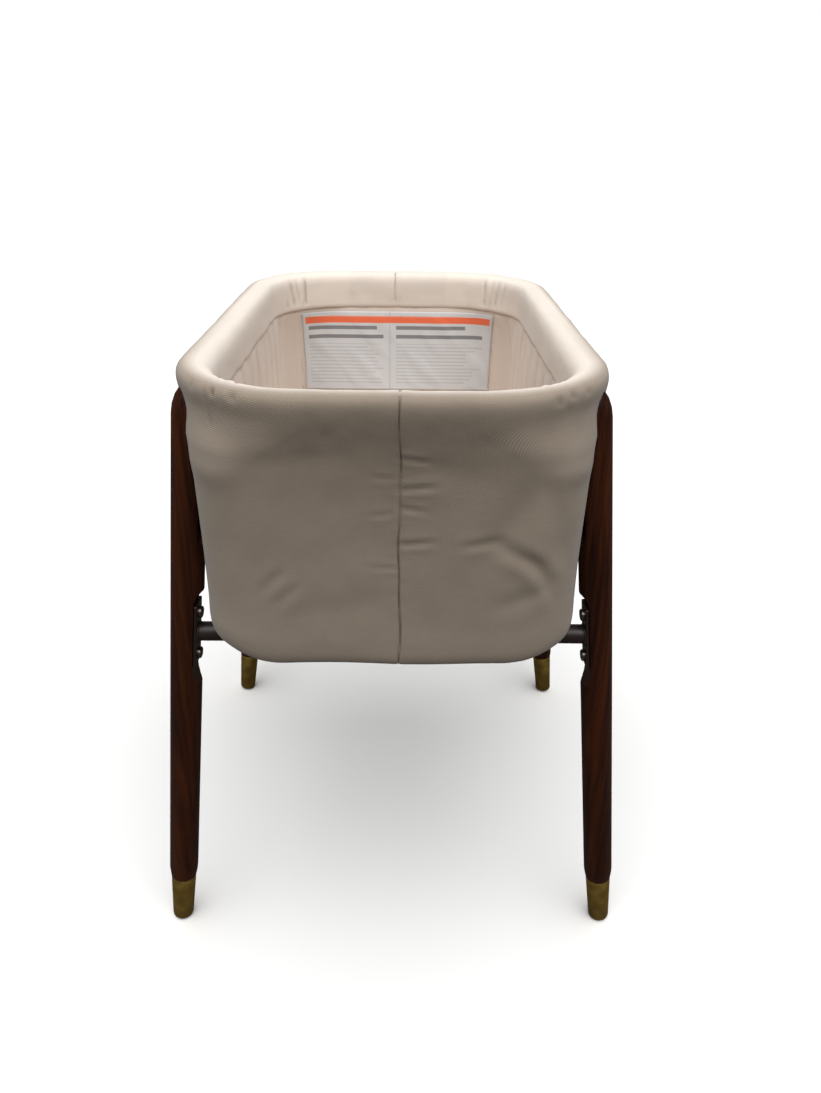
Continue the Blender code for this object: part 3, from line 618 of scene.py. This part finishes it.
def makeCover():
    columns = columnsRound(cover["endColumns"], cover["cornerColumns"], cover["sideColumns"],
                           seams=(0.514, 0.530))
    stations, along = smoothRows(coverStations("near"), cover["rows"])
    near = gridOf(stations, columns)
    far = gridOf(smoothRows(coverStations("far"), cover["rows"])[0], columns)
    share = np.clip((near[..., 1:2] + 0.25) / 0.45, 0, 1)
    base = near + (far - near) * share * share * (3 - 2 * share)
    normals = gridNormals(base)
    relief = coverRelief(base, normals)
    grid = base + normals * relief[..., None]
    # the bottom edge of each end hangs a little below the floor, clear of the cross bars
    outward = np.clip((np.abs(grid[..., 1]) - 0.284) / 0.024, 0, 1)
    across = np.clip((0.198 - np.abs(grid[..., 0])) / 0.078, 0, 1)
    low = np.clip((0.60 - grid[..., 2]) / 0.10, 0, 1)
    droop = cover["droop"]
    for share in (outward, across, low):
        droop = droop * share**2 * (3 - 2 * share)
    grid[..., 2] -= droop * (1 + 0.07 * np.sin(grid[..., 0] * 34 + 0.6))
    # where a leg stands against the wall the cloth is pressed flat
    legX = np.clip((grid[..., 2] - 0.54) / 0.17, 0, 1) * (cover["topHalf"][0] - cover["lowHalf"][0])
    proud = np.abs(grid[..., 0]) - cover["lowHalf"][0] - legX
    pressed = np.exp(-((np.abs(grid[..., 1]) - legPlace["y"]) / legPlace["press"])**4)
    pressed *= np.clip((0.735 - grid[..., 2]) / 0.03, 0, 1)
    grid[..., 0] -= np.sign(grid[..., 0]) * np.clip(proud, 0, 0.02) * pressed
    # painted light: the cover's colour fades from the darker outside colours on the outer face to the paler
    # inside colours over the crest of the roll, reaching further down on the far roll than on the near one
    crest = int(np.argmax(stations[:, 3]))
    out = (stations[:, 1] - cover["rimHalf"][1])[:, None]
    overTop = (np.arange(len(stations)) <= crest + 6)[:, None]
    nearPaintedLight = np.clip((out - 0.0150) / -0.0170, 0, 1)
    farPaintedLight = np.clip((out - 0.0215) / -0.0120, 0, 1)
    lining = overTop * (nearPaintedLight + (farPaintedLight - nearPaintedLight) * np.clip((near[..., 1] + 0.30) / 0.35, 0, 1))
    # painted shade: the deeper the cloth sinks in a fold, seam or dent, the darker its colour
    creaseShade = np.clip((-relief - 0.0008) / 0.0022, 0, 1)
    made = clothMesh("quilted_cover", grid, gridNormals(grid), cover["thickness"], along,
                     {"lining": lining, "creaseShade": creaseShade})
    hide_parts("outer_cover")
    dress(made, twillFinish("beigeTwill", clothColors["outside"], clothColors["shadedOutsideDeep"],
                            clothColors["inside"], clothColors["litInsideDeep"]))
    return made


outerCover = makeCover()
print("outer cover made,", len(outerCover.data.polygons), "faces")

# the lining: it hangs from the band seam inside, down the walls and across the floor

lining = {
    "top": (0.1978, 0.3278, 0.1130, 0.7510),
    "rows": 92,
    "endColumns": 126,
    "cornerColumns": 33,
    "sideColumns": 126,
    "thickness": 0.0015,
    "offWall": 0.0015,
    "flat": (0.88, 1.15),
    "flatArea": 0.715,
    "wallSeams": (-0.1635, 0.1600),
}


def liningStations():
    low = (0.1955, 0.3245, 0.0465, 0.530)
    return [lining["top"], (0.1976, 0.3276, 0.1120, 0.7485), (0.1966, 0.3266, 0.1100, 0.7450),
            (0.1946, 0.3248, 0.1050, 0.7400), (0.1938, 0.3241, 0.0960, 0.7310),
            (0.1932, 0.3241, 0.0850, 0.7170), (0.1930, 0.3242, 0.0740, 0.6960),
            (0.1930, 0.3243, 0.0600, 0.6500), (0.1942, 0.3244, 0.0500, 0.5900), low,
            (low[0] - 0.003, low[1] - 0.003, 0.0445, 0.514),
            (low[0] - 0.012, low[1] - 0.012, 0.0405, 0.5055),
            (low[0] - 0.027, low[1] - 0.027, 0.0325, 0.5022),
            (low[0] - 0.080, low[1] - 0.080, 0.022, 0.5022)]


# (y, z), turn, length, width, depth on the long walls, seen from inside
liningFolds = [
    ((-0.230, 0.660), 82, 0.160, 0.0080, 0.0032),
    ((-0.180, 0.680), 96, 0.140, 0.0090, 0.0030),
    ((-0.120, 0.640), 86, 0.190, 0.0100, 0.0034),
    ((-0.055, 0.690), 94, 0.120, 0.0080, 0.0028),
    ((0.000, 0.650), 88, 0.190, 0.0100, 0.0032),
    ((0.060, 0.680), 97, 0.140, 0.0080, 0.0030),
    ((0.110, 0.650), 84, 0.170, 0.0090, 0.0034),
    ((0.165, 0.685), 92, 0.130, 0.0070, 0.0028),
    ((0.215, 0.660), 98, 0.160, 0.0080, 0.0032),
    ((0.258, 0.690), 86, 0.120, 0.0060, 0.0026),
]


def liningRelief(grid, normals):
    # positive stands into the tub
    x, y, z = grid[..., 0], grid[..., 1], grid[..., 2]
    ends = np.clip(np.abs(normals[..., 1]) * 1.3 - 0.2, 0, 1)
    side = np.clip(np.abs(normals[..., 0]) * 1.3 - 0.2, 0, 1)
    wall = np.clip((0.752 - z) / 0.02, 0, 1) * np.clip((z - 0.51) / 0.02, 0, 1)
    relief = np.zeros_like(x)
    for place, turn, length, width, depth in liningFolds:
        for sign in (1, -1):
            shifted = (place[0] + 0.012 * sign, place[1])
            relief += side * (x * sign > 0) * wall * foldAt(y, z, shifted, turn, length, width, depth)
    for seamX in lining["wallSeams"]:
        offset = x - seamX
        relief -= ends * wall * 0.0026 * np.exp(-(offset / 0.0018)**2)
        relief += ends * wall * 0.0010 * np.exp(-((np.abs(offset) - 0.006) / 0.004)**2)
        gathers = 0.5 + 0.5 * np.sin((x + 0.15 * z) * 900)
        outside = np.exp(-((np.abs(x) - abs(seamX) - 0.012) / 0.010)**2) * (np.sign(x) == np.sign(seamX))
        relief -= ends * 0.0012 * gathers * outside * np.clip((z - 0.66) / 0.08, 0, 1)
    relief += ends * wall * 0.0012 * np.sin(x * 46 + 1.0) * np.clip((np.abs(x) - 0.15) / 0.02, 0, 1)
    relief += wall * (0.0016 * softNoise(grid, 10.0, 11.3) + 0.0007 * softNoise(grid, 34.0, 2.9))
    gather = np.exp(-((z - 0.738) / 0.011)**2)
    around = np.where(side > ends, y, x)
    relief -= 0.0009 * gather * (0.5 + 0.5 * np.sin(around * 330 + 5 * np.sin(around * 41)))**2
    labelArea = ends * (np.abs(x) < 0.160) * (y > 0) * (z > 0.60)
    relief = np.maximum(relief, -0.0026)
    return np.where(relief > 0, relief * (1 - labelArea), relief * (1 - 0.6 * labelArea))


def makeLining():
    columns = columnsRound(lining["endColumns"], lining["cornerColumns"], lining["sideColumns"], seams=(0, 0))
    stations, along = smoothRows(liningStations(), lining["rows"])
    base = gridOf(stations, columns)
    inward = -gridNormals(base)
    base = base + inward * (lining["thickness"] + lining["offWall"])
    relief = liningRelief(base, inward)
    grid = base + inward * relief[..., None]
    # painted shade, at lower strength, in the lining's folds and seams
    made = clothMesh("inner_lining", grid, -gridNormals(grid), lining["thickness"], along,
                     {"creaseShade": 0.45 * np.clip((-relief - 0.0010) / 0.0020, 0, 1)}, flip=True)
    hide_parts("inner_liner")
    # the lining's pale wall colours are the lit copy of the cover's twill: painted light
    dress(made, twillFinish("liningTwill", clothColors["wall"], clothColors["litWallDeep"],
                            rib=0.0014, height=0.00018))
    return made


innerLining = makeLining()
print("lining made,", len(innerLining.data.polygons), "faces")

# the mattress in its fitted sheet, which lifts out

mattress = {
    "half": (0.1740, 0.3070),
    "corner": 0.081,
    "bottom": 0.5048,
    "top": 0.5325,
    "softEdge": 0.008,
    "voxel": 0.0058,
    "pressure": 4.0,
    "mostSwell": 0.0045,
    "frames": 20,
}


def closedLoft(name, stations, columns):
    rings = [ringOf(station, columns) for station in stations]
    count = len(columns)
    faces = []
    for r in range(len(rings) - 1):
        for c in range(count):
            d = (c + 1) % count
            faces.append((r * count + c, r * count + d, (r + 1) * count + d, (r + 1) * count + c))
    faces.append(tuple(reversed(range(count))))
    faces.append(tuple((len(rings) - 1) * count + c for c in range(count)))
    mesh = bpy.data.meshes.new(name)
    mesh.from_pydata([point for ring in rings for point in ring], [], faces)
    return placed(name, mesh)


def only(obj):
    bpy.ops.object.select_all(action="DESELECT")
    obj.select_set(True)
    bpy.context.view_layer.objects.active = obj


def meshPoints(obj):
    points = np.empty(len(obj.data.vertices) * 3)
    obj.data.vertices.foreach_get("co", points)
    return points.reshape(-1, 3)


def swell(obj):
    # cloth filled with air, its movement capped
    rest = meshPoints(obj)
    only(obj)
    cloth = obj.modifiers.new("swell", "CLOTH")
    cloth.settings.use_pressure = True
    cloth.settings.uniform_pressure_force = mattress["pressure"]
    cloth.settings.effector_weights.gravity = 0
    cloth.settings.quality = 5
    for k in range(1, mattress["frames"] + 1):
        scene.frame_set(k)
    bpy.ops.object.modifier_apply(modifier="swell")
    scene.frame_set(1)
    move = meshPoints(obj) - rest
    far = np.maximum(np.linalg.norm(move, axis=1), 1e-9)
    share = np.minimum(1.0, mattress["mostSwell"] / far)
    points = rest + move * share[:, None]
    points[:, 2] = np.maximum(points[:, 2], mattress["bottom"])
    obj.data.vertices.foreach_set("co", points.reshape(-1))
    obj.data.update()


def makeMattress():
    halfX, halfY = mattress["half"]
    soft = mattress["softEdge"]
    low, high = mattress["bottom"], mattress["top"]
    stations = []
    for degrees in range(-90, 91, 15):
        tuck = soft * (1 - math.cos(math.radians(degrees)))
        middle = high - soft if degrees > 0 else low + soft
        stations.append((halfX - tuck, halfY - tuck, mattress["corner"] - tuck,
                         middle + soft * math.sin(math.radians(degrees))))
    made = closedLoft("sheeted_mattress", stations, columnsRound(20, 10, 40, seams=(0, 0)))
    only(made)
    made.modifiers.new("voxels", "REMESH").voxel_size = mattress["voxel"]
    made.modifiers["voxels"].mode = "VOXEL"
    bpy.ops.object.modifier_apply(modifier="voxels")
    swell(made)
    finer = made.modifiers.new("finer", "SUBSURF")
    finer.levels = finer.render_levels = 1
    bpy.ops.object.modifier_apply(modifier="finer")
    # the sheet's own creases: drawn to the corners, and slack across the top
    points = meshPoints(made)
    normals = np.empty(len(points) * 3)
    made.data.vertices.foreach_get("normal", normals)
    normals = normals.reshape(-1, 3)
    x, y, z = points.T
    cornerward = np.clip((np.abs(x) / halfX + np.abs(y) / halfY - 1.35) / 0.4, 0, 1)
    around = np.arctan2(np.abs(y) - (halfY - 0.10), np.abs(x) - (halfX - 0.10))
    shed = np.clip((z - low - 0.004) / 0.006, 0, 1)
    relief = 0.0007 * cornerward * shed * np.sin(around * 34 + 2 * np.sin(around * 9))
    broad = np.array([noise.noise(Vector(p) * 9.0) for p in points])
    fine = np.array([noise.noise(Vector((p[0] * 30, p[1] * 13, p[2] * 20 + 4))) for p in points])
    relief += np.clip((z - high + 0.006) / 0.006, 0, 1) * (0.0011 * broad + 0.0007 * fine)
    points += normals * relief[:, None]
    points[:, 2] = np.maximum(points[:, 2], low)
    made.data.vertices.foreach_set("co", points.reshape(-1))
    made.data.update()
    made.data.shade_smooth()
    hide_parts("fitted_sheet", "mattress_core")
    dress(made, plainWeaveFinish("sheetCotton", clothColors["sheet"], clothColors["sheetDeep"]),
          "mattress")
    return made


sheetedMattress = makeMattress()
print("mattress made,", len(sheetedMattress.data.polygons), "faces")

# the sewn patch on the far wall, its border stitches and the two rows of stitches on the wall below it

patch = {
    "half": 0.1585,
    "low": 0.6045,
    "high": 0.7385,
    "standOff": 0.0010,
    "thickness": 0.0006,
    "columns": 120,
    "rows": 52,
    "border": 0.004,
    "pitch": 0.0042,
    "divider": 0.459,
    "tuck": 0.012,
}
wallRows = {"drops": (0.0065, 0.0105), "left": -0.095, "right": 0.128, "y": 0.3199, "pitch": 0.0040}
thread = {"length": 0.0030, "radius": 0.00035, "color": (0.78, 0.73, 0.66)}


def patchPlace(x, z):
    # found on the far wall of the lining, with a little slack between the stitched edges
    found, spot, facing, index = innerLining.ray_cast(Vector((x, 0.20, z)), Vector((0, 1, 0)))
    wall = spot.y - 0.0005 if found else 0.320
    slack = 0.0013 * math.sin(x * 61 + 0.8 + z * 22) * math.sin(z * 47) + 0.0007 * math.sin(x * 130 + z * 120)
    toEdge = min(patch["half"] - abs(x), z - patch["low"], patch["high"] - z)
    inside = min(1.0, toEdge / patch["tuck"])
    return wall - patch["standOff"] - max(0.0, slack * max(inside, 0.0))


def patchFinish():
    satin = Finish("labelSatin", (0.80, 0.79, 0.79), 0.55, Sheen_Weight=0.15, Specular_IOR_Level=0.4)
    spread = satin.node("UVMap", {"uv_map": "layout"}).outputs["UV"]
    split = satin.node("SeparateXYZ", Vector=spread)
    u, v = split.outputs["X"], split.outputs["Y"]
    right = satin.math("GREATER_THAN", u, patch["divider"])
    first = satin.math("DIVIDE", u, patch["divider"])
    second = satin.math("DIVIDE", satin.math("SUBTRACT", u, patch["divider"]), 1 - patch["divider"])
    local = satin.total((first, satin.math("SUBTRACT", 1.0, right)), (second, right))

    def between(value, low, high):
        return satin.times(satin.math("GREATER_THAN", value, low), satin.math("LESS_THAN", value, high))

    def rules(count, share, low, high):
        # rows of plain grey rules, ragged at their right ends
        rows = satin.times(v, count)
        row = satin.math("FLOOR", rows)
        line = satin.math("LESS_THAN", satin.math("FRACT", rows), share)
        ragged = satin.node("TexWhiteNoise", {"noise_dimensions": "1D"})
        satin.put(satin.math("ADD", row, satin.times(right, 31.0)), ragged.inputs["W"])
        end = satin.math("ADD", satin.times(ragged.outputs["Value"], 0.22), 0.72)
        return satin.times(satin.times(line, between(local, 0.06, end)), between(v, low, high))

    small = rules(22.0, 0.38, 0.08, 0.60)
    large = rules(9.0, 0.42, 0.66, 0.83)
    band = satin.times(between(v, 0.860, 0.945), between(u, 0.015, 0.985))
    middle = between(u, patch["divider"] - 0.0025, patch["divider"] + 0.0015)
    weft = satin.wave(satin.place(), math.tau / (20 * 0.0008), "Z", 0.3)
    base = satin.blend(satin.times(weft, 0.5), (0.60, 0.60, 0.61), (0.70, 0.70, 0.71))
    color = satin.blend(satin.times(small, 0.55), base, (0.42, 0.42, 0.43))
    color = satin.blend(satin.times(large, 0.80), color, (0.13, 0.13, 0.14))
    color = satin.blend(middle, color, (0.45, 0.45, 0.46))
    color = satin.blend(band, color, (0.86, 0.16, 0.065))
    satin.color(color)
    satin.raised(weft, 0.00008, 0.6)
    return satin.made


def makePatch():
    columns, rows = patch["columns"], patch["rows"]
    verts, faces, layout = [], [], []
    for depth in (0.0, patch["thickness"]):
        for r in range(rows + 1):
            for c in range(columns + 1):
                x = patch["half"] * (2 * c / columns - 1)
                z = patch["low"] + (patch["high"] - patch["low"]) * r / rows
                verts.append((x, patchPlace(x, z) + depth, z))
                layout.append((c / columns, r / rows))
    half = (rows + 1) * (columns + 1)
    for r in range(rows):
        for c in range(columns):
            a, b = r * (columns + 1) + c, (r + 1) * (columns + 1) + c
            faces.append((a, a + 1, b + 1, b))
            faces.append((half + b, half + b + 1, half + a + 1, half + a))
    edge = list(range(columns + 1))
    edge += [r * (columns + 1) + columns for r in range(1, rows + 1)]
    edge += [rows * (columns + 1) + c for c in range(columns - 1, -1, -1)]
    edge += [r * (columns + 1) for r in range(rows - 1, 0, -1)]
    for a, b in zip(edge, edge[1:] + edge[:1]):
        faces.append((b, a, half + a, half + b))
    mesh = bpy.data.meshes.new("satin_patch")
    mesh.from_pydata(verts, [], faces)
    uv = mesh.uv_layers.new(name="layout")
    for loop in mesh.loops:
        uv.data[loop.index].uv = layout[loop.vertex_index]
    mesh.shade_smooth()
    made = placed("satin_patch", mesh)
    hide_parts("sewn_label")
    dress(made, patchFinish())


def stitchRow(name, places, facings, finish):
    # one stitch modelled, then laid end to end along the line
    bpy.ops.object.select_all(action="DESELECT")
    bpy.ops.mesh.primitive_uv_sphere_add(segments=6, ring_count=5, radius=thread["radius"])
    one = bpy.context.object
    bpy.ops.object.mode_set(mode="EDIT")
    bpy.ops.mesh.select_all(action="SELECT")
    bpy.ops.transform.resize(value=(1, 1, 0.5 * thread["length"] / thread["radius"]))
    bpy.ops.object.mode_set(mode="OBJECT")
    shape = meshPoints(one)
    corners = [tuple(polygon.vertices) for polygon in one.data.polygons]
    bpy.data.objects.remove(one, do_unlink=True)
    verts, faces = [], []
    for (start, end), facing in zip(places, facings):
        along = (end - start).normalized()
        out = (facing - along * facing.dot(along)).normalized()
        turn = Matrix((out.cross(along), out, along)).transposed()
        middle = (start + end) / 2
        first = len(verts)
        verts += [tuple(turn @ Vector(p) + middle) for p in shape]
        faces += [tuple(first + k for k in face) for face in corners]
    mesh = bpy.data.meshes.new(name)
    mesh.from_pydata(verts, [], faces)
    mesh.shade_smooth()
    dress(placed(name, mesh), finish)


def spaced(points, pitch):
    # pairs of stitch ends along a line of points
    pairs = []
    left = 0.0
    for a, b in zip(points, points[1:]):
        span = (b - a).length
        along = (b - a).normalized()
        while left < span:
            middle = a + along * left
            pairs.append((middle - along * thread["length"] / 2, middle + along * thread["length"] / 2))
            left += pitch
        left -= span
    return pairs


def threadFinish():
    cotton = Finish("stitchThread", thread["color"], 0.8, Sheen_Weight=0.2)
    twist = cotton.wave(cotton.place(), 1500.0, "DIAGONAL")
    cotton.color(cotton.blend(twist, (0.66, 0.60, 0.52), thread["color"]))
    cotton.raised(twist, 0.00005, 0.6)
    return cotton.made


def makeStitches():
    finish = threadFinish()
    inset = patch["border"]
    x, low, high = patch["half"] - inset, patch["low"] + inset, patch["high"] - inset
    outline = [Vector((-x, patchPlace(x, low), low)), Vector((x, patchPlace(x, low), low)),
               Vector((x, patchPlace(x, high), high)), Vector((-x, patchPlace(x, high), high)),
               Vector((-x, patchPlace(x, low), low))]
    pairs = spaced(outline, patch["pitch"])
    stitchRow("patch_stitches", pairs, [Vector((0, -1, 0))] * len(pairs), finish)
    rows = []
    for drop in wallRows["drops"]:
        y, z = wallRows["y"], patch["low"] - drop
        ends = [Vector((wallRows[side], y, z)) for side in ("left", "right")]
        rows += spaced(ends, wallRows["pitch"])
    stitchRow("wall_stitches", rows, [Vector((0, -1, 0))] * len(rows), finish)


makePatch()
makeStitches()
print("patch and stitches made")

# the stand: legs, metal tips, cross bars, flanges, hangers and bolts

stand = {
    "spread": 0.300,
    "lean": 0.1213,
    "pairY": 0.270,
    "barHeight": 0.4825,
    "barRadius": 0.0115,
    "flangeFace": 0.0138,
    "boltSpacing": 0.057,
    "hangerBolts": (0.672, 0.700),
    "hangerFace": 0.0066,
    "headRadius": 0.0072,
    "headHeight": 0.0046,
    "upperHeadHeight": 0.0035,
    "shank": 0.012,
    "weldRadius": 0.0017,
}
tilt = math.atan(stand["lean"])
ends = {"front": -1, "rear": 1}
sides = {"left": -1, "right": 1}


def legFrame(end, side):
    turn = Matrix.Rotation(0.0 if side == "left" else math.pi, 4, "Z") @ Matrix.Rotation(tilt, 4, "Y")
    return Matrix.Translation((sides[side] * stand["spread"], ends[end] * stand["pairY"], 0)) @ turn


def walnutFinish(side):
    turn = (0, -tilt if side == "left" else tilt, 0)
    wood = Finish("darkWalnut_" + side, (0.030, 0.007, 0.002), 0.42, Specular_IOR_Level=0.20,
                  Coat_Weight=0.05, Coat_Roughness=0.28)
    grainPlace = wood.place(scale=(38.0, 38.0, 2.2), turn=turn)
    rings = wood.noise(grainPlace, 1.0, 6.0, 0.62, 0.8)
    streak = wood.noise(wood.place(scale=(190.0, 190.0, 5.0), turn=turn), 1.0, 4.0, 0.6)
    pores = wood.noise(wood.place(scale=(1500.0, 1500.0, 55.0), turn=turn), 1.0, 2.0)
    poreShare = wood.ramp(pores, 0.60, 0.72)
    grain = wood.total((rings, 0.6), (streak, 0.4))
    color = wood.blend(wood.ramp(grain, 0.36, 0.66), (0.0150, 0.0026, 0.0006), (0.062, 0.0145, 0.0028))
    color = wood.blend(wood.times(poreShare, 0.6), color, (0.008, 0.002, 0.001))
    wood.color(color)
    wood.roughness(wood.ramp(grain, 0.3, 0.7, 0.36, 0.50))
    wood.raised(streak, 0.00012, 0.5)
    wood.raised(wood.math("SUBTRACT", 1.0, poreShare), 0.00010, 0.5)
    return wood.made


def brassFinish():
    metal = Finish("satinBrass", (0.30, 0.185, 0.042), 0.34, 1.0)
    brushed = metal.noise(metal.place(scale=(30.0, 30.0, 900.0)), 1.0, 3.0)
    smudge = metal.noise(metal.place(), 60.0, 4.0)
    metal.color(metal.blend(metal.ramp(smudge, 0.35, 0.7), (0.50, 0.325, 0.075), (0.62, 0.420, 0.110)))
    metal.roughness(metal.ramp(smudge, 0.3, 0.7, 0.28, 0.44))
    metal.raised(brushed, 0.00006, 0.5)
    return metal.made


def paintedSteel(name, color, roughness=0.40):
    paint = Finish(name, color, roughness, 0.0, Specular_IOR_Level=0.5)
    peel = paint.noise(paint.place(), 900.0, 2.0)
    wear = paint.noise(paint.place(), 55.0, 5.0)
    paint.color(paint.blend(paint.ramp(wear, 0.62, 0.75), color, tuple(1.8 * c for c in color)))
    paint.roughness(paint.ramp(wear, 0.3, 0.7, roughness - 0.05, roughness + 0.10))
    paint.raised(peel, 0.00008, 0.5)
    return paint.made


def bareMetal(name, color, roughness):
    metal = Finish(name, color, roughness, 1.0)
    scuff = metal.noise(metal.place(), 240.0, 5.0)
    metal.color(metal.blend(metal.ramp(scuff, 0.4, 0.7), tuple(0.75 * c for c in color), color))
    metal.roughness(metal.ramp(scuff, 0.3, 0.7, roughness - 0.06, roughness + 0.12))
    metal.raised(scuff, 0.00005, 0.5)
    return metal.made


def softFoam(name, pale, deep, cell=900.0):
    foam = Finish(name, pale, 0.95, Specular_IOR_Level=0.2)
    cells = foam.noise(foam.place(), cell, 3.0)
    foam.color(foam.blend(foam.ramp(cells, 0.35, 0.65), deep, pale))
    foam.raised(cells, 0.0003, 0.7)
    return foam.made


finishes = {
    "brass": brassFinish(),
    "steel": paintedSteel("brownSteel", (0.020, 0.0105, 0.0085)),
    "bolt": bareMetal("boltSteel", (0.20, 0.17, 0.155), 0.26),
    "zinc": bareMetal("zincSteel", (0.55, 0.55, 0.56), 0.32),
    "rubber": softFoam("blackRubber", (0.020, 0.020, 0.020), (0.014, 0.014, 0.014), 1500.0),
    "foam": softFoam("creamFoam", (0.72, 0.66, 0.50), (0.60, 0.54, 0.40)),
    "board": softFoam("hardboard", (0.26, 0.16, 0.085), (0.19, 0.115, 0.06), 500.0),
    "left": walnutFinish("left"),
    "right": walnutFinish("right"),
}


def smoothCopy(nodeName, name, finish, angle=32):
    # a merged copy of a CAD node, so that its round faces shade smoothly
    made = nodes[nodeName].copy()
    made.data = nodes[nodeName].data.copy()
    for key in list(made.keys()):
        del made[key]
    made.name = made.data.name = name
    made.parent = None
    scene.collection.objects.link(made)
    only(made)
    bpy.ops.object.mode_set(mode="EDIT")
    bpy.ops.mesh.select_all(action="SELECT")
    bpy.ops.mesh.customdata_custom_splitnormals_clear()
    bpy.ops.mesh.remove_doubles(threshold=0.00002)
    bpy.ops.mesh.tris_convert_to_quads()
    bpy.ops.object.mode_set(mode="OBJECT")
    bpy.ops.object.shade_smooth_by_angle(angle=math.radians(angle))
    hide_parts(nodeName)
    dress(made, finish)


def boltHead(height):
    # a button head with a bevelled rim, a raised crown and a socket, lying along Z
    bpy.ops.object.select_all(action="DESELECT")
    bpy.ops.mesh.primitive_cylinder_add(vertices=24, radius=stand["headRadius"], depth=height,
                                        location=(0, 0, height / 2))
    made = bpy.context.object
    bpy.ops.object.transform_apply(location=True)
    bpy.ops.object.mode_set(mode="EDIT")
    grid = bmesh.from_edit_mesh(made.data)

    def pick(faces=None, edges=None):
        for item in [*grid.verts, *grid.edges, *grid.faces]:
            item.select = False
        for item in grid.faces if faces else grid.edges:
            item.select = (faces or edges)(item)
        grid.select_flush_mode()
        bmesh.update_edit_mesh(made.data)

    bpy.ops.mesh.select_mode(type="EDGE")
    pick(edges=lambda e: all(v.co.z > height - 1e-5 for v in e.verts))
    bpy.ops.mesh.bevel(offset=0.55 * height, segments=4, profile=0.55)
    bpy.ops.mesh.select_mode(type="FACE")
    grid = bmesh.from_edit_mesh(made.data)
    pick(faces=lambda f: f.normal.z > 0.99 and len(f.verts) > 12)
    bpy.ops.mesh.inset(thickness=0.0015)
    bpy.ops.mesh.extrude_region_move(TRANSFORM_OT_translate={"value": (0, 0, -0.42 * height)})
    bpy.ops.mesh.inset(thickness=0.0006)
    grid = bmesh.from_edit_mesh(made.data)
    pick(faces=lambda f: f.normal.z < -0.99 and len(f.verts) > 12)
    bpy.ops.mesh.inset(thickness=stand["headRadius"] - 0.003)
    bpy.ops.mesh.extrude_region_move(TRANSFORM_OT_translate={"value": (0, 0, -stand["shank"])})
    bpy.ops.object.mode_set(mode="OBJECT")
    bpy.ops.object.shade_smooth_by_angle(angle=math.radians(34))
    return made


def makeBolts():
    middle = stand["barHeight"] / math.cos(tilt)
    half = stand["boltSpacing"] / 2
    lowHanger, highHanger = (h / math.cos(tilt) for h in stand["hangerBolts"])
    kinds = {
        "flange_bolt_upper": (middle + half, stand["flangeFace"], "headHeight"),
        "flange_bolt_lower": (middle - half, stand["flangeFace"], "headHeight"),
        "hanger_bolt_upper": (highHanger, stand["hangerFace"], "upperHeadHeight"),
        "hanger_bolt_lower": (lowHanger, stand["hangerFace"], "upperHeadHeight"),
    }
    heads = {size: boltHead(stand[size]) for size in ("headHeight", "upperHeadHeight")}
    lie = Matrix.Rotation(math.pi / 2, 4, "Y")
    for end in ends:
        for side in sides:
            for kind, (height, out, size) in kinds.items():
                made = heads[size].copy()
                made.data = heads[size].data.copy()
                made.name = made.data.name = f"button_{kind}_{end}_{side}"
                scene.collection.objects.link(made)
                made.data.transform(legFrame(end, side) @ Matrix.Translation((out, 0, height)) @ lie)
                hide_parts(f"{kind}_{end}_{side}")
                dress(made, finishes["bolt"])
    for head in heads.values():
        bpy.data.objects.remove(head, do_unlink=True)


def makeWelds():
    # an uneven bead where each cross bar meets its flange
    for end in ends:
        for side in sides:
            bpy.ops.object.select_all(action="DESELECT")
            bpy.ops.mesh.primitive_torus_add(major_radius=stand["barRadius"] + 0.0004, major_segments=48,
                                             minor_radius=stand["weldRadius"], minor_segments=10)
            made = bpy.context.object
            made.name = made.data.name = f"weld_{end}_{side}"
            for vertex in made.data.vertices:
                around = math.atan2(vertex.co.y, vertex.co.x)
                swellBy = 1 + 0.14 * math.sin(around * 17) + 0.10 * math.sin(around * 5 + 1)
                away = Vector((math.cos(around), math.sin(around), 0)) * (stand["barRadius"] + 0.0004)
                vertex.co = away + (vertex.co - away) * swellBy
            place = legFrame(end, side) @ Matrix.Translation((stand["flangeFace"] + 0.0006, 0,
                                                              stand["barHeight"] / math.cos(tilt)))
            made.data.transform(place @ Matrix.Rotation(math.pi / 2, 4, "Y"))
            bpy.ops.object.shade_smooth()
            dress(made, finishes["steel"])


def makeStand():
    for end in ends:
        for side in sides:
            tail = f"_{end}_{side}"
            smoothCopy("leg" + tail, "turned_leg" + tail, finishes[side])
            smoothCopy("brass_tip" + tail, "tip" + tail, finishes["brass"], 40)
        smoothCopy("cross_bar_" + end, "bar_" + end, finishes["steel"])
    makeBolts()
    makeWelds()


def dressNodes():
    looks = {"flange_plate": "steel", "hanger_plate": "steel", "rim_rail": "zinc", "rim_connector": "zinc",
             "snap_button": "zinc", "foot_glide": "rubber", "rim_foam": "foam", "wall_padding": "foam",
             "base_board": "board", "leg": "left", "brass_tip": "brass", "cross_bar": "steel",
             "flange_bolt": "bolt", "hanger_bolt": "bolt", "mattress_core": "foam"}
    for name, node in nodes.items():
        for start, look in looks.items():
            if name.startswith(start):
                node.data.materials.clear()
                node.data.materials.append(finishes[look])


makeStand()
dressNodes()
print("stand made")
